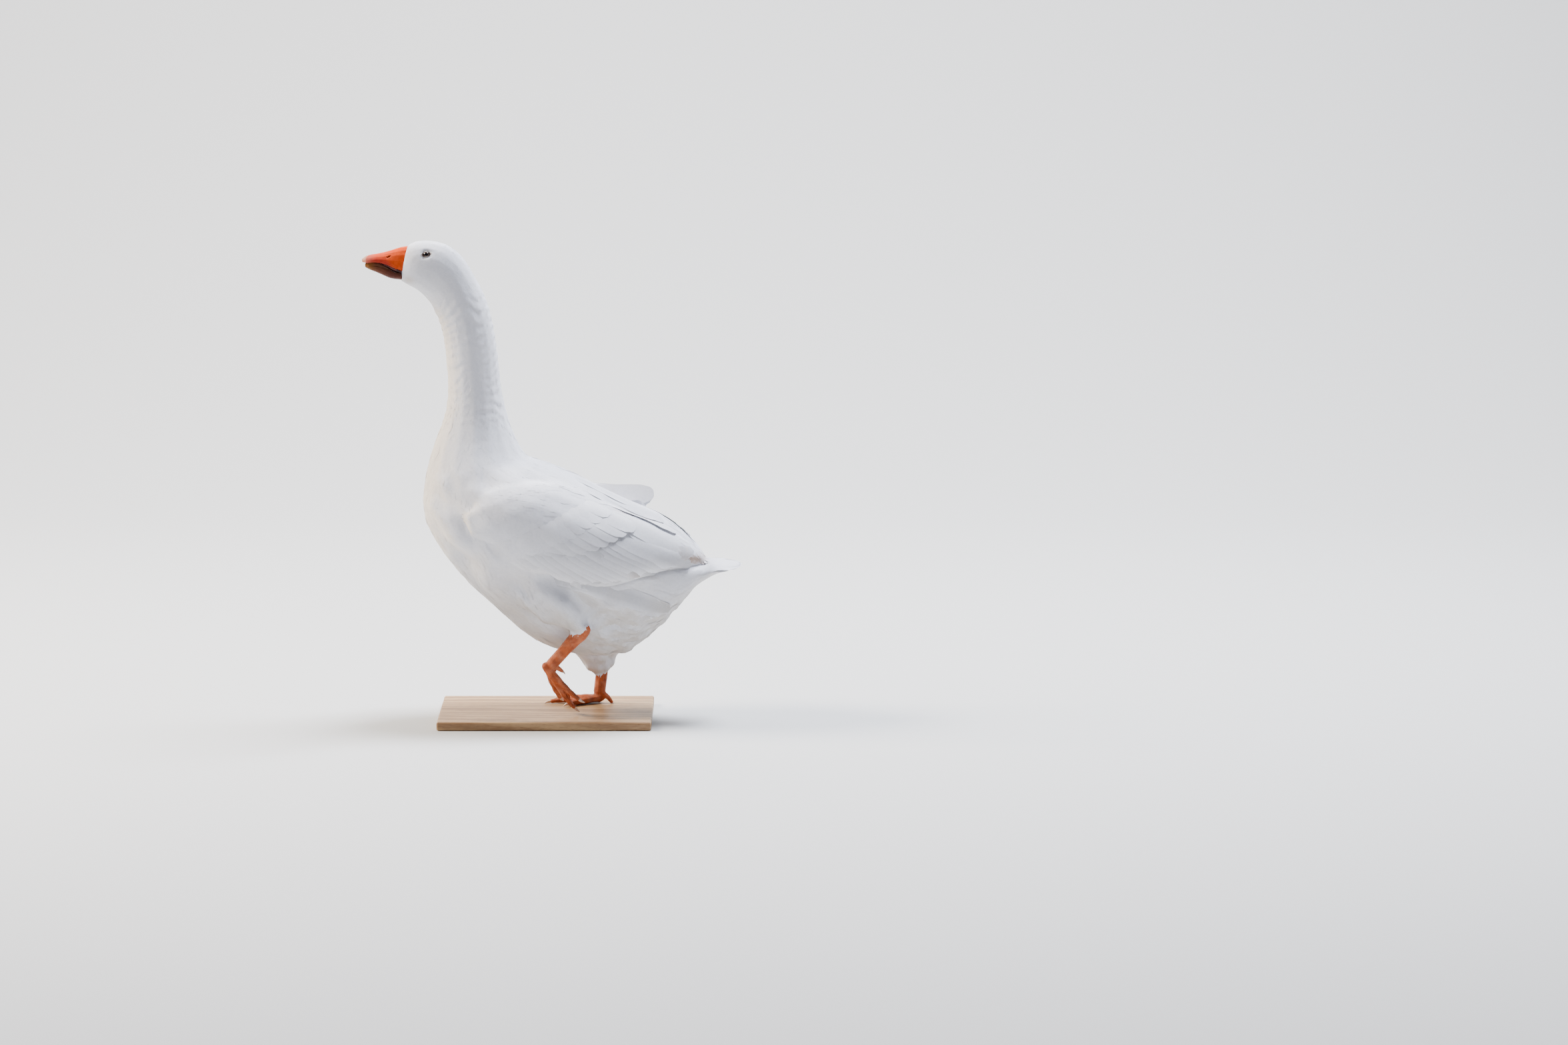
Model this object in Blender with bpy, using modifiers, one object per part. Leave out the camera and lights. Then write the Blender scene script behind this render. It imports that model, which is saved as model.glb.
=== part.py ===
"""A white domestic goose walking to the left, one foot lifted, on a flat display base.

The goose faces -X and its left side is towards -Y. Shapes are drawn in units, of which
DRAWN_HEIGHT make the standing height, so the whole bird follows one driving dimension.
The trunk, neck and head are one loft through named rings, parted by thin flat cuts. The
wings lie on that loft, and the legs and feet are lofts along their own bones.
"""

import math
from collections import namedtuple

import bmesh
import bpy
import numpy as np
from mathutils import Matrix, Vector

# Driving dimensions
STANDING_HEIGHT = 0.755  # metres, from the floor under the foot to the crown
DRAWN_HEIGHT = 797.0  # the same height in units
UNIT = STANDING_HEIGHT / DRAWN_HEIGHT
CUT = 0.0004 / UNIT  # clearance between two parts that meet, in units
BASE_SIZE = (0.34, 0.23, 0.014)  # length, width and thickness in metres
BASE_CENTRE = -0.012  # of the base along x, in metres
BASE_ROUNDING = 0.003

WHITE = (0.86, 0.86, 0.87)
ORANGE = (0.80, 0.25, 0.06)
HORN = (0.82, 0.62, 0.52)
PINK = (0.75, 0.35, 0.30)
BLACK = (0.03, 0.03, 0.05)
OAK = (0.45, 0.33, 0.22)

Ring = namedtuple("Ring", "name back belly half_width fullness")

# Each ring runs round the body from its point on the back to its point on the belly.
BODY = (
    Ring("bill_base", (-240, 788.4), (-253.6, 728.6), 16.6, 0.00),
    Ring("lores", (-232, 792.6), (-246, 724.5), 21, 0.00),
    Ring("forehead", (-219, 795.5), (-237.5, 719.5), 25, 0.04),
    Ring("crown", (-200, 795.5), (-224.5, 713), 27.5, 0.06),
    Ring("hind_crown", (-172, 788), (-212.5, 702.5), 29, 0.04),
    Ring("occiput", (-148, 768), (-203, 691), 30, 0.00),
    Ring("nape", (-129.5, 738.5), (-194.5, 675), 32, 0.00),
    Ring("upper_neck", (-110.5, 701), (-186.5, 656), 34.5, 0.00),
    Ring("throat", (-97.5, 652.5), (-180, 628), 36.5, 0.00),
    Ring("mid_neck", (-90.5, 600), (-176.5, 592), 38, 0.00),
    Ring("lower_neck", (-86, 555), (-174, 551), 40, 0.00),
    Ring("neck_flare", (-77.5, 510), (-178, 507), 45, 0.02),
    Ring("neck_root", (-63, 466), (-195, 461), 58, 0.04),
    Ring("crop", (-41, 430.5), (-212, 405), 80, 0.04),
    Ring("shoulder", (-8, 420.5), (-218.5, 342), 102, 0.02),
    Ring("breast", (33, 404), (-199.5, 292), 115, 0.00),
    Ring("keel", (78, 380), (-153, 228.5), 117, -0.06),
    Ring("mid_back", (124, 358), (-95, 173), 112, -0.15),
    Ring("loin", (167, 340), (-30, 118), 103, -0.24),
    Ring("paunch", (203, 318), (50, 93), 91, -0.24),
    Ring("rump", (230, 294), (125, 100), 78, -0.10),
    Ring("vent", (248.5, 269), (199, 164), 60, 0.02),
    Ring("tail_root", (261, 257), (239, 212), 45, 0.04),
)
STATION = {ring.name: index for index, ring in enumerate(BODY)}


def spline(knots, values, at):
    """Smooth curve through values at knots, as a cubic with centred slopes."""
    knots, values = np.asarray(knots, float), np.asarray(values, float)
    steps = np.diff(knots)
    rises = np.diff(values, axis=0) / steps[:, None]
    inner = (rises[1:] * steps[:-1, None] + rises[:-1] * steps[1:, None]) / (
        steps[1:] + steps[:-1]
    )[:, None]
    slopes = np.vstack([rises[:1], inner, rises[-1:]])
    i = np.clip(np.searchsorted(knots, at, side="right") - 1, 0, len(steps) - 1)
    h = steps[i]
    s = ((at - knots[i]) / h)[:, None]
    return (
        values[i] * (1 + 2 * s) * (1 - s) ** 2
        + slopes[i] * h[:, None] * s * (1 - s) ** 2
        + values[i + 1] * s**2 * (3 - 2 * s)
        + slopes[i + 1] * h[:, None] * s**2 * (s - 1)
    )


def through(pairs, at):
    """One number read from a smooth curve through (place, value) pairs."""
    places, values = zip(*pairs)
    return float(spline(places, np.array(values)[:, None], np.array([at]))[0, 0])


RING_TABLE = np.array([(*r.back, *r.belly, r.half_width, r.fullness) for r in BODY])
RING_CENTRES = (RING_TABLE[:, :2] + RING_TABLE[:, 2:4]) / 2
RING_KNOTS = np.concatenate(
    [[0], np.cumsum(np.linalg.norm(np.diff(RING_CENTRES, axis=0), axis=1))]
)


def along(station):
    """Distance along the body of a station, which may fall between two rings."""
    return float(np.interp(station, range(len(BODY)), RING_KNOTS))


def body_points(distance, angles):
    """Points round the body at one distance: angle 0 on the back, pi on the belly, +Y at pi/2."""
    bx, bz, vx, vz, width, fullness = spline(RING_KNOTS, RING_TABLE, np.array([distance]))[0]
    lean = np.cos(angles)
    side = np.sin(angles) * (1 - fullness * lean)
    return np.stack(
        [
            (bx + vx) / 2 + (bx - vx) / 2 * lean,
            width * side,
            (bz + vz) / 2 + (bz - vz) / 2 * lean,
        ],
        axis=1,
    )


def body_surface(distance, angle):
    """A point on the body and the outward normal there."""
    step = 0.02
    here = body_points(distance, np.array([angle, angle + step]))
    ahead = body_points(distance + 1.0, np.array([angle]))
    normal = np.cross(here[1] - here[0], ahead[0] - here[0])
    return here[0], -normal / np.linalg.norm(normal)


# Making objects


def clear_scene():
    for found in list(bpy.data.objects):
        bpy.data.objects.remove(found, do_unlink=True)


def collection(name):
    made = bpy.data.collections.new(name)
    bpy.context.scene.collection.children.link(made)
    return made


def material(name, colour, roughness):
    made = bpy.data.materials.new(name)
    made.use_nodes = True
    shader = made.node_tree.nodes["Principled BSDF"]
    shader.inputs["Base Color"].default_value = (*colour, 1.0)
    shader.inputs["Roughness"].default_value = roughness
    shader.inputs["Metallic"].default_value = 0.0
    return made


def solid(name, points, faces, look, home):
    """A closed mesh object from points in units, with its faces turned outwards."""
    mesh = bpy.data.meshes.new(name)
    mesh.from_pydata([Vector(p) * UNIT for p in points], [], faces)
    work = bmesh.new()
    work.from_mesh(mesh)
    bmesh.ops.recalc_face_normals(work, faces=work.faces)
    bmesh.ops.triangulate(work, faces=work.faces)
    work.to_mesh(mesh)
    work.free()
    mesh.shade_smooth()
    mesh.materials.append(look)
    made = bpy.data.objects.new(name, mesh)
    home.objects.link(made)
    return made


def loft(name, rings, look, home):
    """A closed skin over rings of equal length, with a flat cap at each end."""
    count = len(rings[0])
    points = [tuple(p) for ring in rings for p in ring]
    faces = [
        (a + b, a + (b + 1) % count, a + count + (b + 1) % count, a + count + b)
        for a in range(0, (len(rings) - 1) * count, count)
        for b in range(count)
    ]
    faces.append(tuple(range(count)))
    faces.append(tuple((len(rings) - 1) * count + b for b in range(count)))
    return solid(name, points, faces, look, home)


def slab(name, upper, lower, columns, look, home):
    """A closed sheet between an upper and a lower grid of points, each of so many columns."""
    width = columns + 1
    rows = len(upper) // width - 1
    under = len(upper)
    faces = []
    for row in range(rows):
        for column in range(columns):
            a = row * width + column
            b = a + under
            faces += [(a, a + 1, a + 1 + width, a + width), (b, b + width, b + 1 + width, b + 1)]
    rim = [row * width for row in range(rows)] + [rows * width + c for c in range(columns)]
    rim += [row * width + columns for row in range(rows, 0, -1)] + list(range(columns, 0, -1))
    faces += [(a, b, b + under, a + under) for a, b in zip(rim, rim[1:] + rim[:1])]
    return solid(name, [*upper, *lower], faces, look, home)


def limb(name, path, look, home, sides, between=False):
    """A rounded loft along path, whose stops are (centre, fore-and-aft radius, side radius).

    With between, more sections are set half-way from stop to stop.
    """
    centres = np.array([stop[0] for stop in path], float)
    radii = np.array([stop[1:] for stop in path], float)
    knots = np.concatenate([[0], np.cumsum(np.linalg.norm(np.diff(centres, axis=0), axis=1))])
    halves = (knots[1:] + knots[:-1]) / 2
    places = np.unique(np.concatenate([knots, halves])) if between else knots
    line = spline(knots, centres, places)
    sizes = spline(knots, radii, places)
    runs = np.gradient(line, axis=0)
    angles = np.arange(sides) * 2 * math.pi / sides
    rings = []
    for spot, run, (fore, side) in zip(line, runs, sizes):
        run = run / np.linalg.norm(run)
        across = np.array([0.0, 1.0, 0.0]) - run * run[1]
        across /= np.linalg.norm(across)
        front = np.cross(across, run)
        rings.append([spot + front * fore * math.cos(a) + across * side * math.sin(a) for a in angles])
    domes = []
    for ring, spot, run, size in (
        (rings[0], line[0], -runs[0], sizes[0]),
        (rings[-1], line[-1], runs[-1], sizes[-1]),
    ):
        run = run / np.linalg.norm(run) * float(min(size))
        domes.append(
            [
                [spot + (np.array(p) - spot) * math.cos(t) + run * math.sin(t) for p in ring]
                for t in (math.radians(38), math.radians(74))
            ]
        )
    return loft(name, domes[0][::-1] + rings + domes[1], look, home)


def cutter_of(piece, helpers):
    """A copy of piece grown by the clearance, to cut room for it in its neighbour."""
    copy = bpy.data.objects.new(piece.name + "_room", piece.data.copy())
    copy.matrix_basis = piece.matrix_basis.copy()
    helpers.objects.link(copy)
    grow = copy.modifiers.new("grow", "DISPLACE")
    grow.strength = CUT * UNIT
    grow.mid_level = 0.0
    return hidden(copy)


def hidden(piece):
    piece.hide_render = True
    piece.display_type = "WIRE"
    return piece


def move_to(piece, home):
    """Takes an object out of every collection and puts it in one."""
    for owner in list(piece.users_collection):
        owner.objects.unlink(piece)
    home.objects.link(piece)
    return piece


def combine(piece, other, operation):
    change = piece.modifiers.new(other.name, "BOOLEAN")
    change.operation = operation
    change.object = other
    return piece


def make_room(piece, neighbours, helpers):
    for neighbour in neighbours:
        combine(piece, cutter_of(neighbour, helpers), "DIFFERENCE")


# The body, neck and head


# How far apart the sections of each part are, and how many sides they have.
BODY_MESH = {"head": (12, 16), "neck": (21, 16), "trunk": (27, 20)}


def body_part(name, first, last, look, home):
    """The part of the body between two named rings, half a clearance short at each."""
    spacing, sides = BODY_MESH[name]
    start, end = along(STATION[first]) + CUT / 2, along(STATION[last]) - CUT / 2
    count = max(3, round((end - start) / spacing))
    angles = np.arange(sides) * 2 * math.pi / sides
    rings = [body_points(d, angles) for d in np.linspace(start, end, count)]
    return loft(name, rings, look, home)


# The wings

# Each edge of the wing as (station, share of the way from the back to the belly).
WING_TOP = (
    (14.0, 0.30), (14.4, 0.17), (15.0, 0.10), (16.0, 0.06), (18.0, 0.042), (19.5, 0.028), (21.2, 0.018),
    (21.7, 0.022),
)
WING_LOW = (
    (14.0, 0.46), (14.4, 0.65), (14.8, 0.73), (15.7, 0.64), (16.25, 0.65), (16.85, 0.61), (17.3, 0.545),
    (18.0, 0.475), (18.5, 0.385), (19.1, 0.27), (20.2, 0.16), (21.2, 0.10), (21.7, 0.05),
)
# How far the wing's two faces stand off the body: at the rim, and in the middle.
WING_OUTER = (1.3, 9.0)
WING_INNER = (-4.5, -9.0)
WING_ROWS, WING_COLUMNS = 14, 5


def wing_panel(name, side, look, home):
    """A folded wing: a lens lying on the body between its upper and lower edge."""
    rows, columns = WING_ROWS, WING_COLUMNS
    first, last = WING_TOP[0][0], WING_TOP[-1][0]
    outer, inner = [], []
    for row in range(rows + 1):
        s = row / rows
        station = first + (last - first) * s
        top, low = (math.acos(1 - 2 * through(edge, station)) for edge in (WING_TOP, WING_LOW))
        for column in range(columns + 1):
            c = column / columns
            spot, normal = body_surface(along(station), top + (low - top) * c)
            ends = min(1.0, s * 7 + 0.02) * min(1.0, (1 - s) * 3.5 + 0.05)
            swell = math.sin(math.pi / 2 * ends) * math.sin(math.pi * (0.04 + 0.92 * c)) ** 0.45
            for grid, (rim, middle) in ((outer, WING_OUTER), (inner, WING_INNER)):
                place = spot + normal * (rim + (middle - rim) * swell)
                grid.append((place[0], place[1] * side, place[2]))
    return slab(name, outer, inner, columns, look, home)


# The right wing's long inner feathers stand up: centre, half height and half thickness.
RAISED = (
    ((50, 64, 366), 14, 7.0),
    ((85, 60, 362), 16, 6.0),
    ((115, 55, 358), 14, 4.5),
    ((140, 50, 359), 14, 3.2),
    ((158, 46, 361.5), 16, 2.2),
    ((169, 44, 363), 9, 1.5),
)


def raised_feathers(look, helpers):
    rings = []
    for (x, y, z), tall, thick in RAISED:
        turns = np.arange(12) * math.pi / 6
        across = thick * np.cos(turns) + 0.45 * tall * np.sin(turns)
        rise = tall * np.sin(turns) - 0.3 * thick * np.cos(turns)
        rings.append([(x, y + a, z + r) for a, r in zip(across, rise)])
    return hidden(loft("raised_feathers", rings, look, helpers))


# The bill

UPPER_BILL = (
    # (culmen x, z), (cutting edge x, z), half width
    ((-240.6, 787.4), (-252.6, 746.0), 16.0),
    ((-256, 783.0), (-262, 750), 15.6),
    ((-272, 777.8), (-275, 756), 14.8),
    ((-288, 774.0), (-290, 759.3), 14.0),
    ((-301, 771.9), (-302, 759.2), 12.8),
    ((-309.5, 769.6), (-309.5, 758.2), 10.4),
    ((-314, 766.8), (-313.5, 757.6), 7.2),
    ((-316.3, 764), (-315.6, 759), 3.0),
)
LOWER_BILL = (
    # (cutting edge x, z), (chin side x, z), half width
    ((-254.2, 742.0), (-254.2, 730.0), 15.0),
    ((-264, 745.8), (-267, 731.5), 14.2),
    ((-277, 754.4), (-281, 737.2), 13.2),
    ((-290, 758.4), (-293, 742.5), 12.2),
    ((-300, 759.0), (-303, 746.4), 11.0),
    ((-307, 758.2), (-308.5, 749.2), 8.4),
    ((-310.8, 757), (-311, 750.8), 3.6),
)


def half_shell(ridge, edge, half_width, roundness, hollow, sides=10):
    """A section with an arched side towards ridge and a slightly hollow side at edge."""
    ridge, edge = np.array(ridge), np.array(edge)
    points = []
    for k in range(sides + 1):
        a = math.pi * k / sides
        rise = math.sin(a) ** roundness
        x, z = edge + (ridge - edge) * rise
        points.append((x, half_width * math.cos(a), z))
    for k in range(1, 4):
        y = half_width * (-1 + k / 2)
        rise = hollow * (1 - (y / half_width) ** 2)
        x, z = edge + (ridge - edge) * rise
        points.append((x, y * 0.96, z))
    return points


def smooth_stops(stops, steps):
    """More stops between the given ones, as rows of numbers."""
    table = np.array([(*a, *b, w) for a, b, w in stops], float)
    centres = (table[:, :2] + table[:, 2:4]) / 2
    knots = np.concatenate([[0], np.cumsum(np.linalg.norm(np.diff(centres, axis=0), axis=1))])
    return spline(knots, table, np.linspace(0, knots[-1], steps))


def bill_half(name, stops, ridge_first, hollow, look, home):
    rings = []
    for row in smooth_stops(stops, 10):
        first, second, width = row[:2], row[2:4], row[4]
        ridge, edge = (first, second) if ridge_first else (second, first)
        rings.append(half_shell(ridge, edge, width, 0.8, hollow))
    return loft(name, rings, look, home)


TONGUE_SIDES = 8


def tongue(look, home):
    path = [
        ((-259.5, 0, 744.0), 1.2, 5.4),
        ((-268, 0, 747.6), 1.8, 6.6),
        ((-281, 0, 754.9), 1.7, 6.0),
        ((-293, 0, 758.0), 1.1, 4.6),
    ]
    return limb("tongue", path, look, home, TONGUE_SIDES, True)


EYE_PLACE = (-207.3, 18.6, 773.2)
EYE_RADIUS = 6.9


def eye(name, side, look, home):
    bpy.ops.mesh.primitive_uv_sphere_add(
        segments=12, ring_count=8, radius=EYE_RADIUS * UNIT, rotation=(math.pi / 2, 0, 0),
        location=Vector((EYE_PLACE[0], side * EYE_PLACE[1], EYE_PLACE[2])) * UNIT,
    )
    made = bpy.context.object
    made.name = name
    made.data.name = name
    made.data.shade_smooth()
    made.data.materials.append(look)
    return move_to(made, home)


# The legs

Leg = namedtuple("Leg", "thigh hock knuckle hind toe_turn yaw roll spread curl fold")
# The thigh's stops are (centre, fore-and-aft radius, side radius). The joints of the hind toe
# are so far up the shank, behind it and towards the other foot. Angles are in degrees.
LEGS = {
    "left": Leg(
        thigh=(
            ((-34, -66, 244), 44, 30),
            ((-10, -71, 214), 50, 35),
            ((16, -74, 187), 43, 32),
            ((34, -76, 168), 28, 23),
            ((45, -76, 157), 16, 14),
        ),
        hock=(53, -76, 149), knuckle=(-7, -67, 81),
        hind=((10, 6, 3), (11, 14, 7), (11, 21, 11)),
        toe_turn=114, yaw=0, roll=46, spread=(20, 0, -17), curl=(6, 4, 4), fold=7,
    ),
    "right": Leg(
        thigh=(
            ((10, 58, 214), 48, 30),
            ((42, 64, 166), 54, 36),
            ((67, 65, 124), 54, 36),
            ((71, 64, 94), 47, 33),
            ((74, 63, 71), 27, 21),
        ),
        hock=(86, 65, 106), knuckle=(74, 56, 8.3),
        hind=((9, 6, 3), (4, 15, 5), (-3.5, 23, 6.5)),
        toe_turn=0, yaw=6, roll=0, spread=(30, 0, -27), curl=(0, 0, 0), fold=0,
    ),
}
# Bones of each toe from the knuckle, inner toe first, then the radii at its joints.
TOE_BONES = ((26, 19, 14), (28, 22, 18, 12), (24, 19, 15, 13))
TOE_RADII = (8.6, 7.2, 6.2, 5.3, 4.2)
HIND_TOE_RADII = (5.4, 4.4, 3.2)
WEB_THICK = 2.2
WEB_ROWS, WEB_COLUMNS = 5, 4
THIGH_SIDES, SHANK_SIDES, TOE_SIDES, HIND_TOE_SIDES = 12, 10, 6, 7


def thigh(side_name, leg, look, home):
    return limb("thigh_" + side_name, leg.thigh, look, home, THIGH_SIDES)


def shank(side_name, leg, look, home):
    hock, knuckle = np.array(leg.hock, float), np.array(leg.knuckle, float)
    span = knuckle - hock
    path = [
        (hock - span * 0.02, 12.6, 10.0),
        (hock + span * 0.10, 14.2, 10.8),
        (hock + span * 0.24, 12.0, 8.6),
        (hock + span * 0.50, 10.6, 7.4),
        (hock + span * 0.78, 10.4, 8.2),
        (hock + span * 0.90, 10.4, 9.0),
    ]
    return limb("shank_" + side_name, path, look, home, SHANK_SIDES)


def foot_frame(leg):
    """Turns the foot's own frame, toes towards -X and sole down, to its place."""
    yaw = Matrix.Rotation(math.radians(leg.yaw), 4, "Z")
    droop = Matrix.Rotation(-math.radians(leg.toe_turn), 4, "Y")
    roll = Matrix.Rotation(math.radians(leg.roll), 4, "X")
    return Matrix.Translation(leg.knuckle) @ yaw @ droop @ roll


def toe_lines(leg, side):
    """Joint points of the three front toes in the foot's own frame, inner toe first."""
    lines = []
    for bones, spread, curl in zip(TOE_BONES, leg.spread, leg.curl):
        spot, dip = Vector((0, 0, 0)), 0.0
        line = [spot.copy()]
        for bone in bones:
            dip += math.radians(curl)
            heading = Vector((-math.cos(dip), 0, -math.sin(dip)))
            heading.rotate(Matrix.Rotation(math.radians(spread) * side, 3, "Z"))
            spot = spot + heading * bone
            line.append(spot.copy())
        lines.append(line)
    return lines


def toe_path(line, frame):
    """Stops for a toe's loft. A toe on the floor lies along its own lower side."""
    stops = []
    for number, joint in enumerate(line):
        radius = TOE_RADII[number]
        stops.append((tuple(frame @ joint), radius * 0.92, radius))
        if number < len(line) - 1:
            middle = (joint + line[number + 1]) / 2
            slim = (radius + TOE_RADII[number + 1]) / 2 * 0.86
            stops.append((tuple(frame @ middle), slim * 0.92, slim))
    return stops


def sample(line, share):
    """The point a share of the way along a broken line."""
    lengths = [(b - a).length for a, b in zip(line, line[1:])]
    left = share * sum(lengths)
    for (a, b), length in zip(zip(line, line[1:]), lengths):
        if left <= length:
            return a + (b - a) * (left / length)
        left -= length
    return line[-1].copy()


def web(name, line_a, line_b, fold, frame, look, helpers):
    """The skin between two toes: it sags into a fold and its free edge is hollow."""
    upper, lower = [], []
    for row in range(WEB_ROWS + 1):
        for column in range(WEB_COLUMNS + 1):
            c = column / WEB_COLUMNS
            reach = 0.93 * (row / WEB_ROWS) * (1 - 0.17 * math.sin(math.pi * c))
            spot = sample(line_a, reach).lerp(sample(line_b, reach), c)
            spot.z -= fold * math.sin(math.pi * c) * reach + 1.4
            upper.append(tuple(frame @ (spot + Vector((0, 0, WEB_THICK / 2)))))
            lower.append(tuple(frame @ (spot - Vector((0, 0, WEB_THICK / 2)))))
    return hidden(slab(name, upper, lower, WEB_COLUMNS, look, helpers))


def claw_path(tip, heading, down, size):
    """Stops for a claw that starts past the toe's end and bends down."""
    return [
        (tuple(tip + (heading * ahead + down * drop) * size), tall * size, wide * size)
        for ahead, drop, tall, wide in (
            (0.5, 0.0, 2.9, 3.0), (5.0, 0.3, 2.2, 2.5), (9.5, 2.0, 1.0, 1.2),
        )
    ]


def foot(side_name, leg, skin_look, horn_look, home, helpers):
    """The foot with its toes and webs as one solid, the toes' own shapes and the four claws."""
    side = -1 if side_name == "left" else 1
    frame = foot_frame(leg)
    lines = toe_lines(leg, side)
    knuckle = limb(
        "foot_" + side_name,
        [
            (tuple(frame @ Vector((5, 0, 2.0))), 7.4, 8.4),
            (tuple(frame @ Vector((0, 0, 0))), 8.4, 9.6),
            (tuple(frame @ Vector((-14, 0, -1.5))), 6.6, 11.5),
            (tuple(frame @ Vector((-26, 0, -3.0))), 3.6, 9.0),
        ],
        skin_look, home, SHANK_SIDES,
    )
    parts, claws = [], []
    turn = frame.to_3x3()
    down = turn @ Vector((0, 0, -1))
    for label, line in zip(("inner", "middle", "outer"), lines):
        sunk = [p - Vector((0, 0, TOE_RADII[0] - TOE_RADII[n])) for n, p in enumerate(line)]
        path = toe_path(sunk, frame)
        parts.append(hidden(limb(f"toe_{label}_{side_name}", path, skin_look, helpers, TOE_SIDES)))
        heading = (sunk[-1] - sunk[-2]).normalized()
        start = frame @ (sunk[-1] + heading * TOE_RADII[len(line) - 1] * 0.6)
        path = claw_path(start, turn @ heading, down, 1.0)
        claws.append(limb(f"claw_{label}_{side_name}", path, horn_look, home, TOE_SIDES))
    up = (Vector(leg.hock) - Vector(leg.knuckle)).normalized()
    back = Vector((0, 1, 0)).cross(up).normalized()
    hind = [Vector(leg.knuckle) + up * u + back * b + Vector((0, -m * side, 0)) for u, b, m in leg.hind]
    stops = [(tuple(p), r, r) for p, r in zip(hind, HIND_TOE_RADII)]
    parts.append(hidden(limb("toe_hind_" + side_name, stops, skin_look, helpers, HIND_TOE_SIDES)))
    heading = (hind[-1] - hind[-2]).normalized()
    path = claw_path(hind[-1] + heading * 2.2, heading, -up, 0.7)
    claws.append(limb("claw_hind_" + side_name, path, horn_look, home, TOE_SIDES))
    webs = [
        web(f"web_{number}_{side_name}", a, b, leg.fold, frame, skin_look, helpers)
        for number, (a, b) in enumerate(zip(lines, lines[1:]))
    ]
    for part in (*parts, *webs):
        combine(knuckle, part, "UNION")
    make_room(knuckle, claws, helpers)
    return knuckle, parts, claws


# The tail

# Along the tail from 0 to 1: its middle line as (x, z), its half width and its half thickness.
TAIL_X = ((0.0, 250), (0.32, 270), (0.65, 293), (1.0, 318.5))
TAIL_Z = ((0.0, 234.5), (0.32, 244), (0.65, 249), (1.0, 247.5))
TAIL_HALF_WIDTH = ((0.0, 44), (0.3, 50), (0.65, 56), (1.0, 52))
TAIL_HALF_THICK = ((0.0, 24), (0.2, 16), (0.5, 7), (0.8, 2.5), (1.0, 1.2))
TAIL_ROWS, TAIL_COLUMNS = 7, 10
TAIL_EDGE = 0.9  # half the thickness at the tail's sides
TAIL_DROOP = 6  # how far the sides hang below the middle


def tail(look, home):
    """The spread tail: as thick as the body where it leaves it, thin and rounded at the end."""
    back, belly = body_points(along(STATION["tail_root"]), np.array([0.0, math.pi]))
    root_up = Vector(back - belly).normalized()
    upper, lower = [], []
    for row in range(TAIL_ROWS + 1):
        s = row / TAIL_ROWS
        up = root_up.lerp(Vector((-0.15, 0, 1)), min(1.0, s * 1.6))
        wide, thick = through(TAIL_HALF_WIDTH, s), through(TAIL_HALF_THICK, s)
        for column in range(TAIL_COLUMNS + 1):
            c = -1 + 2 * column / TAIL_COLUMNS
            reach = s * (1 - 0.36 * c * c * s)
            droop = TAIL_DROOP * c * c * s
            middle = Vector((through(TAIL_X, reach), wide * c, through(TAIL_Z, reach) - droop))
            lift = up * (thick * math.sqrt(1 - c * c) + TAIL_EDGE)
            upper.append(middle + lift)
            lower.append(middle - lift)
    return slab("tail", upper, lower, TAIL_COLUMNS, look, home)


def display_base(look, home):
    """A flat board with rounded edges, just under the sole."""
    length, width, thick = BASE_SIZE
    bpy.ops.mesh.primitive_cube_add(size=1, location=(BASE_CENTRE, 0, -thick / 2 - CUT * UNIT))
    made = bpy.context.object
    made.name = "stand_base"
    made.data.name = "stand_base"
    made.data.transform(Matrix.Diagonal((length, width, thick, 1)))
    corners = made.modifiers.new("corners", "BEVEL")
    corners.width = BASE_ROUNDING
    corners.segments = 3
    corners.angle_limit = math.radians(40)
    made.data.materials.append(look)
    return move_to(made, home)


def settle(home, helpers):
    """Puts the origin at the middle of the underside of the whole model."""
    bpy.context.view_layer.update()
    graph = bpy.context.evaluated_depsgraph_get()
    pieces = [piece.evaluated_get(graph) for piece in home.objects]
    corners = np.array([piece.matrix_world @ Vector(c) for piece in pieces for c in piece.bound_box])
    low, high = corners.min(0), corners.max(0)
    shift = Matrix.Translation((-(low[0] + high[0]) / 2, -(low[1] + high[1]) / 2, -low[2]))
    for piece in [*home.objects, *helpers.objects]:
        piece.matrix_world = shift @ piece.matrix_world


def floor_cut(helpers):
    """A block whose top is the sole level, to flatten what stands on the base."""
    size = 0.5
    bpy.ops.mesh.primitive_cube_add(size=size, location=(0, 0, -size / 2))
    made = bpy.context.object
    made.name = "floor_cut"
    return hidden(move_to(made, helpers))


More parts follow.
